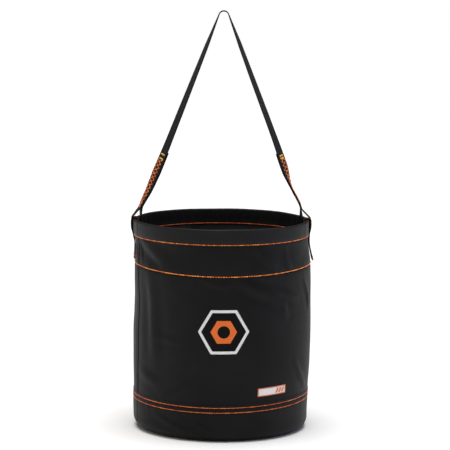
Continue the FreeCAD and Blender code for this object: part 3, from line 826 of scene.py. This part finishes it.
def strapPiece(name, line):
    # flat webbing along a line, thinned to a rounded woven edge at both sides
    half = strap["width"] / 2
    shares = [-1.0, -0.985, -0.955, -0.91, -0.7, -0.4, 0.0, 0.4, 0.7, 0.91, 0.955, 0.985, 1.0]
    across = np.array(shares)[None, :] * half
    rounding = np.clip((np.abs(across) - 0.93 * half) / (0.07 * half), 0, 0.95)
    lift = strap["thickness"] / 2 * np.sqrt(1 - rounding ** 2)
    along = line["length"][:, None]
    at = along + 0 * across
    front = strapPoints(line, at, across + 0 * along, lift + 0 * along)[0]
    back = strapPoints(line, at, across + 0 * along, -lift + 0 * along)[0]
    return solidMesh(name, front, back, across, along, webbing)


def acrossJoint(piece, slotName, *nodes):
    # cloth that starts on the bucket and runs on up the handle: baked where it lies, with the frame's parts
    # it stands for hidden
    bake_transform(piece)
    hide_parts(*nodes)


def sidePoints(table, side):
    return [(side * x * mm, 0.0, z * mm) for x, z in table]


def handleLine():
    # left tail, left leg, over the top, right leg, right tail
    branches = {}
    for side in (-1, 1):
        tail = [(onWall(side * strapAngle, z * mm)[0] * side / mm + lift, z) for z, lift in outerTail[side]]
        knots = sidePoints(tail, side) + sidePoints(outerBranch[side], side)
        knots += [(side * legX(side, z * mm), 0.0, z * mm) for z in (400, 408, 420)]
        branches[side] = throughPoints(knots, 2 * mm)
    bend = strap["topBend"]
    tangentZ = bendHeight + bend * math.sin(legLean)
    legHeights = np.arange(424 * mm, tangentZ - 2 * mm, 5 * mm)
    left, right = [np.array([(side * legX(side, z), 0.0, z) for z in legHeights]) for side in (-1, 1)]
    swing = np.radians(np.linspace(180 - math.degrees(legLean), math.degrees(legLean), 19))
    crown = np.stack([bend * np.cos(swing), 0 * swing, bendHeight + bend * np.sin(swing)], 1)
    return np.concatenate([branches[-1], left, crown, right[::-1], branches[1][::-1]])


handle = strapFrame(handleLine(), legTwist)
acrossJoint(strapPiece("handle_strap_webbing", handle), "webbing",
            "handle_strap", "anchor_strap_outer_left", "anchor_strap_outer_right")


def lengthAt(side, height):
    # length along the handle's webbing where a leg passes this height
    legs = (handle["centre"][:, 0] * side > 0) & (handle["centre"][:, 2] > strap["legStart"])
    heights, lengths = handle["centre"][legs, 2], handle["length"][legs]
    order = np.argsort(heights)
    return np.interp(height, heights[order], lengths[order])


# the second layer of webbing: up inside the rim, then flat against the leg
innerLines = {}
for side, word in sides:
    heights = np.array([400, 412, 426, 440, 456, 474, 490, strap["spliceTop"] / mm]) * mm
    onLeg = strapPoints(handle, lengthAt(side, heights), 0 * heights,
                        0 * heights - strap["thickness"] - strap["gap"])[0]
    knots = sidePoints(innerBranch[side], side) + [tuple(point) for point in onLeg]
    innerPath = throughPoints(knots, 2 * mm)[::-side]   # upwards on the left, downwards on the right
    innerLines[side] = strapFrame(innerPath, {side: innerTwist[side]})
    acrossJoint(strapPiece("inner_strap_" + word, innerLines[side]), "webbing",
                "handle_splice_" + word, "anchor_strap_inner_" + word)

saddle = {"corner": 3.0 * mm, "straight": 8 * mm}   # rounding at the rim, straight part at each end


def saddlePiece(name, node, side):
    # short strap folded over the rim between the two legs
    low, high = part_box(node)
    xs = sorted((abs(low.x), abs(high.x)))
    half = strap["thickness"] / 2
    inside, outside, top = xs[0] + half + mouthShift[side], xs[1] - half + mouthShift[side], high.z - half
    r = saddle["corner"]
    straight = low.z + saddle["straight"]
    knots = [(outside, low.z), (outside, straight), (outside, top - r), (outside - 0.3 * r, top - 0.3 * r),
             (outside - r, top), (inside + r, top), (inside + 0.3 * r, top - 0.3 * r), (inside, top - r),
             (inside, straight), (inside, low.z)]
    knots = [(side * x, 0.0, z) for x, z in knots][::-side]
    line = strapFrame(throughPoints(knots, 1 * mm), {})
    return strapPiece(name, line), line


saddleLines = {}
for side, word in sides:
    piece, saddleLines[side] = saddlePiece("saddle_webbing_" + word, "rim_saddle_" + word, side)
    onBucket(piece, "webbing", "rim_saddle_" + word)
print("webbing ready")


# stitches and threads, grown by geometry nodes
def startGroup(name, numbers):
    group = bpy.data.node_groups.new(name, "GeometryNodeTree")
    sockets = group.interface
    sockets.new_socket("Row", in_out="INPUT", socket_type="NodeSocketGeometry")
    for label, value in numbers.items():
        kind = "NodeSocketInt" if isinstance(value, int) else "NodeSocketFloat"
        sockets.new_socket(label, in_out="INPUT", socket_type=kind).default_value = value
    sockets.new_socket("Material", in_out="INPUT", socket_type="NodeSocketMaterial")
    sockets.new_socket("Thread", in_out="OUTPUT", socket_type="NodeSocketGeometry")
    return group, addNode(group, "NodeGroupInput").outputs


def stitchGroup():
    # one rounded stitch laid at every pitch along a row, its back against the cloth
    numbers = {"Pitch": 0.004, "Length": 0.0036, "Thick": 0.0011, "Turn": 0.0, "Uneven": 0.1, "Dark": 0.0,
               "Light": 0.7, "Seed": 1}
    group, given = startGroup("stitches along a row", numbers)
    curve = addNode(group, "GeometryNodeMeshToCurve", {"Mesh": given["Row"]})
    spaced = addNode(group, "GeometryNodeCurveToPoints",
                     {"Curve": curve.outputs["Curve"], "Length": given["Pitch"]}, mode="LENGTH")
    halfLong = addNode(group, "ShaderNodeMath", {0: given["Length"], 1: 0.5}, operation="MULTIPLY").outputs[0]
    halfThick = addNode(group, "ShaderNodeMath", {0: given["Thick"], 1: 0.5}, operation="MULTIPLY").outputs[0]
    size = addNode(group, "ShaderNodeCombineXYZ", {"X": halfThick, "Y": halfThick, "Z": halfLong})
    bead = addNode(group, "GeometryNodeMeshUVSphere", {"Segments": 8, "Rings": 6, "Radius": 1.0})
    shaped = addNode(group, "GeometryNodeTransform", {"Geometry": bead.outputs["Mesh"],
                     "Rotation": (0, math.pi / 2, 0), "Scale": size.outputs[0]})
    outward = addNode(group, "GeometryNodeInputNamedAttribute", {"Name": "outward"}, data_type="FLOAT_VECTOR")
    facing = addNode(group, "FunctionNodeAxesToRotation", {"Primary Axis": outward.outputs["Attribute"],
                     "Secondary Axis": spaced.outputs["Tangent"]}, primary_axis="Z", secondary_axis="X")
    wobble = addNode(group, "FunctionNodeRandomValue", {2: -0.07, 3: 0.07, "Seed": given["Seed"]})
    turn = addNode(group, "ShaderNodeMath", {0: given["Turn"], 1: wobble.outputs[1]}, operation="ADD")
    spin = addNode(group, "ShaderNodeCombineXYZ", {"Z": turn.outputs[0]})
    spun = addNode(group, "FunctionNodeEulerToRotation", {"Euler": spin.outputs[0]})
    turned = addNode(group, "FunctionNodeRotateRotation", {"Rotation": facing.outputs[0],
                     "Rotate By": spun.outputs[0]}, rotation_space="LOCAL")
    small = addNode(group, "ShaderNodeMath", {0: 1.0, 1: given["Uneven"]}, operation="SUBTRACT").outputs[0]
    large = addNode(group, "ShaderNodeMath", {0: 1.0, 1: given["Uneven"]}, operation="ADD").outputs[0]
    scale = addNode(group, "FunctionNodeRandomValue", {2: small, 3: large, "Seed": given["Seed"]})
    laid = addNode(group, "GeometryNodeInstanceOnPoints", {"Points": spaced.outputs["Points"],
                   "Instance": shaped.outputs[0], "Rotation": turned.outputs[0], "Scale": scale.outputs[1]})
    shades = {2: given["Dark"], 3: given["Light"], "Seed": given["Seed"]}
    shade = addNode(group, "FunctionNodeRandomValue", shades)
    stored = addNode(group, "GeometryNodeStoreNamedAttribute", {"Geometry": laid.outputs[0], "Name": "shade",
                     "Value": shade.outputs[1]}, data_type="FLOAT", domain="INSTANCE")
    real = addNode(group, "GeometryNodeRealizeInstances", {"Geometry": stored.outputs[0]})
    painted = addNode(group, "GeometryNodeSetMaterial", {"Geometry": real.outputs[0],
                      "Material": given["Material"]})
    addNode(group, "NodeGroupOutput", {"Thread": painted.outputs[0]})
    return group


def threadGroup():
    # one unbroken thread along a path, as in a bar of dense zigzag
    group, given = startGroup("thread along a path", {"Thick": 0.0006, "Shade": 0.4})
    curve = addNode(group, "GeometryNodeMeshToCurve", {"Mesh": given["Row"]})
    half = addNode(group, "ShaderNodeMath", {0: given["Thick"], 1: 0.5}, operation="MULTIPLY").outputs[0]
    ring = addNode(group, "GeometryNodeCurvePrimitiveCircle", {"Resolution": 6, "Radius": half})
    tube = addNode(group, "GeometryNodeCurveToMesh", {"Curve": curve.outputs["Curve"],
                   "Profile Curve": ring.outputs[0], "Fill Caps": True})
    stored = addNode(group, "GeometryNodeStoreNamedAttribute", {"Geometry": tube.outputs[0], "Name": "shade",
                     "Value": given["Shade"]}, data_type="FLOAT", domain="POINT")
    real = addNode(group, "GeometryNodeRealizeInstances", {"Geometry": stored.outputs[0]})
    painted = addNode(group, "GeometryNodeSetMaterial", {"Geometry": real.outputs[0],
                      "Material": given["Material"]})
    addNode(group, "NodeGroupOutput", {"Thread": painted.outputs[0]})
    return group


stitches = stitchGroup()
thread = threadGroup()


def grown(name, group, rows, closed=False, **inputs):
    # rows is a list of (points, outward directions); the result is a plain mesh
    path = bpy.data.meshes.new(name + "_rows")
    edges, start = [], 0
    for points, outward in rows:
        count = len(points)
        edges += [(start + k, start + k + 1) for k in range(count - 1)]
        edges += [(start + count - 1, start)] if closed else []
        start += count
    everyPoint = np.concatenate([points for points, outward in rows])
    everyOutward = np.concatenate([np.broadcast_to(outward, points.shape) for points, outward in rows])
    path.from_pydata(everyPoint.tolist(), edges, [])
    path.attributes.new("outward", "FLOAT_VECTOR", "POINT").data.foreach_set("vector", everyOutward.ravel())
    holder = bpy.data.objects.new(name + "_rows", path)
    bpy.context.scene.collection.objects.link(holder)
    modifier = holder.modifiers.new("grow", "NODES")
    modifier.node_group = group
    for item in group.interface.items_tree:
        if item.item_type == "SOCKET" and item.in_out == "INPUT" and item.name in inputs:
            modifier[item.identifier] = inputs[item.name]
    graph = bpy.context.evaluated_depsgraph_get()
    mesh = bpy.data.meshes.new_from_object(holder.evaluated_get(graph), depsgraph=graph)
    mesh.name = name
    bpy.data.objects.remove(holder)
    return finished(name, mesh)


ring = np.arange(720) / 2.0 - 180.0  # angles for a row round the bucket


def rowOnWall(angles, height, outset):
    points = onWall(angles, height + 0 * angles, outset)
    turn = np.radians(angles)
    outward = np.stack([np.sin(turn), -np.cos(turn), 0 * turn], -1)
    return points, outward


stitchGap = 0.3 * mm   # between the ends of two stitches in a row
threadRows = {
    # name: node, height, outset of the thread's middle, stitch length, thickness,
    # darkest and lightest shade, seed
    "rim_stitches": ("rim_stitch", rimRow, 0.7 * mm, 4.3 * mm, 1.5 * mm, -0.1, 0.9, 3),
    "band_stitches": ("band_stitch", bandRow, 0.9 * mm, 4.3 * mm, 1.75 * mm, 0.1, 1.2, 5),
    "base_stitches_upper": ("base_stitch_upper", baseRowUpper, 1.3 * mm, 3.9 * mm, 1.3 * mm, -0.1, 0.6, 7),
    "base_stitches_lower": ("base_stitch_lower", baseRowLower, 1.3 * mm, 3.9 * mm, 1.3 * mm, -0.1, 0.6, 9),
}
for name, (node, height, outset, length, thick, dark, light, seed) in threadRows.items():
    if name == "band_stitches":   # the row rides over the seam strips
        overSeam = sum(hump(np.abs(ring - middle), -1.0, 2.5, 0.6) for middle in seamAngles) * 0.55 * mm
    else:
        laps = seamAngles if name.startswith("base") else hemLapAngles + seamAngles[1:]
        overSeam = lapRise(ring, laps) * awayFromStraps(ring)
    piece = grown(name, stitches, [rowOnWall(ring, height, outset + overSeam)], closed=True,
                  Pitch=length + stitchGap, Length=length, Thick=thick, Dark=dark, Light=light, Seed=seed,
                  Material=orangeThread)
    onBucket(piece, "orange_thread", node)

insideRow = {
    "sunk": 0.15 * mm,       # into the cloth of the hem
    "overStrap": 3.6 * mm,   # the same row passes over the inner straps
}
insideOutset = -hem["innerInset"] + insideRow["sunk"]
overStrap = (1 - awayFromStraps(ring, 4.9, 5.2)) * insideRow["overStrap"]
insideLine = rowOnWall(ring, rimRow, insideOutset - overStrap)
# painted shade: the row inside the mouth takes only the darker, redder end of the thread's shades
piece = grown("rim_stitches_inside", stitches, [insideLine], closed=True, Pitch=4.6 * mm, Length=4.3 * mm,
              Thick=1.5 * mm, Seed=11, Dark=-0.1, Light=0.35, Material=orangeThread)
onBucket(piece, "orange_thread", "rim_stitch_inside")

seamRows = []
for middle in seamAngles:
    for side in (-1, 1):
        heights = np.arange(footBandTop + 3 * mm, hemBottom - 2 * mm, 2 * mm)
        angle = middle + side * math.degrees(seam["rowAside"] / topRadius)
        points = onWall(angle + 0 * heights, heights, seam["rowOutset"])
        turn = math.radians(angle)
        seamRows.append((points, np.array([math.sin(turn), -math.cos(turn), 0.0])))
piece = grown("side_seam_stitches", stitches, seamRows, Pitch=3.4 * mm, Length=3.0 * mm, Thick=0.7 * mm,
              Seed=13, Material=blackThread)
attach(piece, "bucket")


def zigzag(low, high, pitch, half, middle, phase, step=1.5 * mm):
    # (length, across) pairs along a zigzag, close enough together to lie on a bent strap
    turns = [low + k * pitch for k in range(int((high - low) / pitch) + 1)]
    corners = [(at, middle + (half if (k + phase) % 2 else -half)) for k, at in enumerate(turns)]
    pairs = [corners[0]]
    for (a, p), (b, q) in zip(corners, corners[1:]):
        count = max(1, round(math.hypot(b - a, q - p) / step))
        pairs += [(a + (b - a) * k / count, p + (q - p) * k / count) for k in range(1, count + 1)]
    return np.array(pairs)


def rowOnStrap(line, pairs, lift):
    return strapPoints(line, pairs[:, 0], pairs[:, 1], lift + 0 * pairs[:, 0])


def denseBar(line, at, half, tall, pitch, middle=0.0):
    # bar across a strap: thread that climbs and falls, a pitch further over each time
    count = int(2 * half / pitch)
    pairs = [(at + (tall / 2 if k % 2 else -tall / 2), middle - half + pitch * k) for k in range(count + 1)]
    return rowOnStrap(line, np.array(pairs), strap["thickness"] / 2 + 0.15 * mm)


goldenBars = {-1: (492 * mm, 484.5 * mm), 1: (492 * mm, 487.5 * mm)}   # heights on each leg
lattice = {"low": 398 * mm, "high": 489 * mm, "pitch": 7.7 * mm, "half": 8.4 * mm, "towardsBack": 2.4 * mm}
for side, word in sides:
    ends = sorted(float(lengthAt(side, z)) for z in (lattice["low"], lattice["high"]))
    lift = strap["thickness"] / 2 + 0.3 * mm
    lines = [zigzag(*ends, lattice["pitch"], lattice["half"], -lattice["towardsBack"], phase)
             for phase in (0, 1)]
    crossed = [rowOnStrap(handle, line, lift) for line in lines]
    piece = grown("lattice_stitches_" + word, stitches, crossed, Pitch=3.9 * mm, Length=3.7 * mm,
                  Thick=1.3 * mm, Dark=-0.2, Light=0.9, Seed=17 + side, Material=orangeThread)
    acrossJoint(piece, "orange_thread", "splice_stitch_" + word)

    bars = [denseBar(handle, float(lengthAt(side, z)), 7 * mm, 2.0 * mm, 0.75 * mm) for z in goldenBars[side]]
    piece = grown("golden_bartacks_" + word, thread, bars, Thick=1.0 * mm, Shade=0.5, Material=yellowThread)
    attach(piece, "handle")
    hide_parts("splice_bartack_" + word)

    tailEnd = 0.0 if side < 0 else handle["length"][-1]
    for node, up in (("hem_bartack_", rimRow - outerBranch[side][0][1] * mm), ("tail_bartack_", 6 * mm)):
        bar = denseBar(handle, tailEnd - side * up, 10 * mm, 3 * mm, 0.8 * mm)
        piece = grown(node + "thread_" + word, thread, [bar], Thick=0.95 * mm, Shade=0.3,
                      Material=orangeThread)
        onBucket(piece, "orange_thread", node + word)

    # four short rows over the rim, along the saddle
    top = saddleLines[side]["length"][-1] / 2
    along = np.linspace(top - 9 * mm, top + 9 * mm, 19)
    lines = [np.stack([along, np.full(len(along), aside * mm)], 1) for aside in (-8, -3, 3, 8)]
    across = [rowOnStrap(saddleLines[side], line, strap["thickness"] / 2 + 0.2 * mm) for line in lines]
    piece = grown("rim_bartack_thread_" + word, stitches, across, Pitch=3.2 * mm, Length=2.8 * mm,
                  Thick=1.1 * mm, Seed=23 + side, Material=orangeThread)
    onBucket(piece, "orange_thread", "rim_bartack_" + word)
print("stitches ready")

# badge and label
patchGap = 0.02 * mm   # between a patch and the thread on it
badge = {
    "angle": 1.7,          # degrees from the front
    "height": middleOf("badge_backing"),
    "flats": 78 * mm,
    "border": 5 * mm,
    "base": 0.05 * mm,
    "backing": 1.0 * mm,
    "relief": 0.45 * mm,
    "emblemFlats": 40 * mm,
    "emblemHole": 11 * mm,
    "sunk": 0.3 * mm,      # the border's edge goes this far into the patch
    "perSide": 14,         # points along a side of a hexagon
}
label = {
    "angle": 35.5,
    "height": middleOf("label_field"),
    "width": 60 * mm,
    "tall": 14.6 * mm,
    "edge": 1.6 * mm,
    "base": 0.05 * mm,
    "field": 0.5 * mm,
    "relief": 0.3 * mm,
}


def patchPoints(place, u, v, outset):
    return onWall(place["angle"] + np.degrees(u / wallRadius(place["height"])), place["height"] + v, outset)


def walkRound(corners, perSide):
    # points round an outline, clockwise seen from outside
    points = []
    for (ax, ay), (bx, by) in zip(corners, corners[1:] + corners[:1]):
        points += [(ax + (bx - ax) * k / perSide, ay + (by - ay) * k / perSide) for k in range(perSide)]
    return np.array(points)


def hexagon(flats):
    corner = flats / math.sqrt(3)
    turns = [math.radians(-60 * k) for k in range(6)]
    return [(corner * math.cos(turn), corner * math.sin(turn)) for turn in turns]


def oblong(width, tall):
    return [(-width / 2, -tall / 2), (-width / 2, tall / 2), (width / 2, tall / 2), (width / 2, -tall / 2)]


def ringPatch(name, place, inner, outer, base, rise, material, count=9, pole=False):
    # piece between two outlines; rise gives its height from its inner edge (0) to its outer edge (1)
    share = np.linspace(0, 1, count)[:, None]
    u = inner[None, :, 0] + share * (outer - inner)[None, :, 0]
    v = inner[None, :, 1] + share * (outer - inner)[None, :, 1]
    front = patchPoints(place, u, v, base + rise(share) + 0 * u)
    back = patchPoints(place, u, v, base + 0 * u)
    closeU, closeV = np.concatenate([u, u[:, :1]], 1), np.concatenate([v, v[:, :1]], 1)
    return solidMesh(name, front, back, closeU, closeV, material, wrap=True, pole=pole)


def crowned(height):
    # rounded over at both edges
    return lambda share: height * (1 - 0.75 * np.abs(2 * share - 1) ** 4)


def roundedOff(height):
    # flat, rounded over at the outer edge only
    return lambda share: height * (1 - 0.6 * np.clip((share - 0.9) / 0.1, 0, 1) ** 2)


badgeOuter = walkRound(hexagon(badge["flats"]), badge["perSide"])
badgeInner = walkRound(hexagon(badge["flats"] - 2 * badge["border"]), badge["perSide"])
piece = ringPatch("badge_backing_patch", badge, 0 * badgeOuter, badgeOuter, badge["base"],
                  roundedOff(badge["backing"]), patchTwill, 21, pole=True)
onBucket(piece, "badge_black", "badge_backing")
onBacking = badge["base"] + badge["backing"] + patchGap
piece = ringPatch("badge_border_band", badge, badgeInner, badgeOuter * 0.995, onBacking - badge["sunk"],
                  crowned(badge["relief"] + badge["sunk"]), whiteEmbroidery)
onBucket(piece, "badge_white", "badge_border")

emblemOuter = walkRound(hexagon(badge["emblemFlats"]), badge["perSide"])
polar = np.arctan2(emblemOuter[:, 1], emblemOuter[:, 0])
emblemInner = badge["emblemHole"] * np.stack([np.cos(polar), np.sin(polar)], 1)
piece = ringPatch("badge_emblem_nut", badge, emblemInner, emblemOuter, onBacking, crowned(badge["relief"]),
                  orangeEmbroidery)
onBucket(piece, "badge_orange", "badge_emblem")

# overcast edge of the badge: thread wound over the border, square to it
middleLine = (badgeOuter + badgeInner) / 2
closedLine = np.concatenate([middleLine, middleLine[:1]])
borderPoints = patchPoints(badge, closedLine[:, 0], closedLine[:, 1], onBacking + badge["relief"] - 0.2 * mm)
frontTurn = math.radians(badge["angle"])
frontWay = np.array([math.sin(frontTurn), -math.cos(frontTurn), 0.0])
piece = grown("badge_border_overcast", stitches, [(borderPoints, frontWay)], Pitch=1.25 * mm, Length=5.6 * mm,
              Thick=1.15 * mm, Turn=math.radians(82), Uneven=0.04, Seed=29, Material=whiteEmbroidery)
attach(piece, "bucket")


def barPatch(name, place, corners, base, height, material, columnCount=24, rowCount=8):
    # four-sided piece with its corners given as lower left, lower right, upper right, upper left
    s, t = np.linspace(0, 1, columnCount)[None, :], np.linspace(0, 1, rowCount)[:, None]
    lowerLeft, lowerRight, upperRight, upperLeft = [np.array(c) for c in corners]
    u, v = [lowerLeft[k] * (1 - s) * (1 - t) + lowerRight[k] * s * (1 - t) + upperRight[k] * s * t
            + upperLeft[k] * (1 - s) * t for k in (0, 1)]
    front = patchPoints(place, u, v, base + height)
    back = patchPoints(place, u, v, base)
    return solidMesh(name, front, back, u, v, material)


half, halfTall = label["width"] / 2, label["tall"] / 2
square = [(-half, -halfTall), (half, -halfTall), (half, halfTall), (-half, halfTall)]
piece = barPatch("label_field_patch", label, square, label["base"], label["field"], labelWhite)
onBucket(piece, "label_white", "label_field")
onField = label["base"] + label["field"] + patchGap
inset = 2 * label["edge"]
edgeInner = walkRound(oblong(label["width"] - inset, label["tall"] - inset), 16)
edgeOuter = walkRound(oblong(label["width"], label["tall"]), 16)
piece = ringPatch("label_edge_frame", label, edgeInner, edgeOuter, onField, crowned(label["relief"]),
                  labelOrange, 5)
onBucket(piece, "label_orange", "label_edge")
stripes = {"width": 3.8 * mm, "pitch": 6.4 * mm, "count": 3}   # plain slanting bars, counted from the right
stripeHalf = halfTall - inset
bars = []
for index in range(stripes["count"]):
    right = half - inset - stripeHalf - index * stripes["pitch"]
    left = right - stripes["width"]
    corners = [(left, -stripeHalf), (right, -stripeHalf), (right + stripeHalf, stripeHalf),
               (left + stripeHalf, stripeHalf)]
    bars.append(barPatch("label_stripe_%d" % (index + 1), label, corners, onField, label["relief"] * 0.9,
                         labelOrange, 4, 5))
onBucket(bars[0], "label_orange", "label_stripes")
for bar in bars[1:]:
    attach(bar, "bucket")
print("badge and label ready")

# studio
studio = {
    # x, y, z, size, watts, colour
    "left": (-1.95, -0.75, 0.8, 1.7, 7.2, "#ffebcf"),
    "right": (2.0, -0.3, 0.8, 1.6, 6.0, "#dce6ff"),
    "front": (0.3, -3.2, 2.4, 2.0, 15, "#ffffff"),
    "overhead": 3.4,       # W/m2, straight down
    "overheadSpread": 50,  # degrees
    "backdrop": 1.0,
    "fill": 0.13,
    "aim": (0.0, 0.0, 0.25),
    "floorHalf": 7.0,
    "floorDrop": 0.0006,   # just under the bucket, so that the two don't flicker
}


def addSoftLight(name, x, y, z, size, watts, colour):
    lamp = bpy.data.lights.new(name, "AREA")
    lamp.shape = "SQUARE"
    lamp.size = size
    lamp.energy = watts
    lamp.color = fromHex(colour)[:3]
    item = bpy.data.objects.new(name, lamp)
    item.location = (x, y, z)
    item.rotation_euler = (Vector(studio["aim"]) - item.location).to_track_quat("-Z", "Y").to_euler()
    bpy.context.scene.collection.objects.link(item)


for place in ("left", "right", "front"):
    addSoftLight("soft light " + place, *studio[place])
sky = bpy.data.lights.new("overhead light", "SUN")
sky.energy = studio["overhead"]
sky.angle = math.radians(studio["overheadSpread"])
bpy.context.scene.collection.objects.link(bpy.data.objects.new("overhead light", sky))

world = bpy.data.worlds.new("white studio")
bpy.context.scene.world = world
world.use_nodes = True
background = world.node_tree.nodes["Background"]
seen = addNode(world.node_tree, "ShaderNodeLightPath").outputs["Is Camera Ray"]
strength = addNode(world.node_tree, "ShaderNodeMapRange",
                   {"Value": seen, "To Min": studio["fill"], "To Max": studio["backdrop"]})
world.node_tree.links.new(strength.outputs[0], background.inputs["Strength"])
background.inputs["Color"].default_value = (1, 1, 1, 1)

floorMesh = bpy.data.meshes.new("floor")
floorCorners = [(x * studio["floorHalf"], y * studio["floorHalf"], -studio["floorDrop"])
                for x, y in ((-1, -1), (1, -1), (1, 1), (-1, 1))]
floorMesh.from_pydata(floorCorners, [], [(0, 1, 2, 3)])
floorMaterial, _, floorShader = startMaterial("pale floor")
floorShader.inputs["Base Color"].default_value = fromHex("#f8f8f8")
floorShader.inputs["Roughness"].default_value = 0.9
floorShader.inputs["Specular IOR Level"].default_value = 0.1
finished("floor", floorMesh, floorMaterial)

# the eye's place in metres, its turns in degrees, lens and sensor in mm
view = {"place": (0, -4.011, 0.8789), "down": 7.295, "turn": 0.076, "roll": 0.513,
        "lens": 179.33, "sensor": 36}
down, turn, roll = (math.radians(view[key]) for key in ("down", "turn", "roll"))
ahead = Vector((math.sin(turn) * math.cos(down), math.cos(turn) * math.cos(down), -math.sin(down)))
level = Vector((math.cos(turn), -math.sin(turn), 0))
upright = level.cross(ahead)
right = math.cos(roll) * level + math.sin(roll) * upright
up = math.cos(roll) * upright - math.sin(roll) * level
lens = bpy.data.cameras.new("camera")
lens.lens = view["lens"]
lens.sensor_width = view["sensor"]
lens.clip_end = 50
camera = bpy.data.objects.new("camera", lens)
camera.matrix_world = Matrix.Translation(view["place"]) @ Matrix((right, up, -ahead)).transposed().to_4x4()
bpy.context.scene.collection.objects.link(camera)
bpy.context.scene.camera = camera
bpy.context.scene.view_settings.view_transform = "Standard"
print("studio ready")
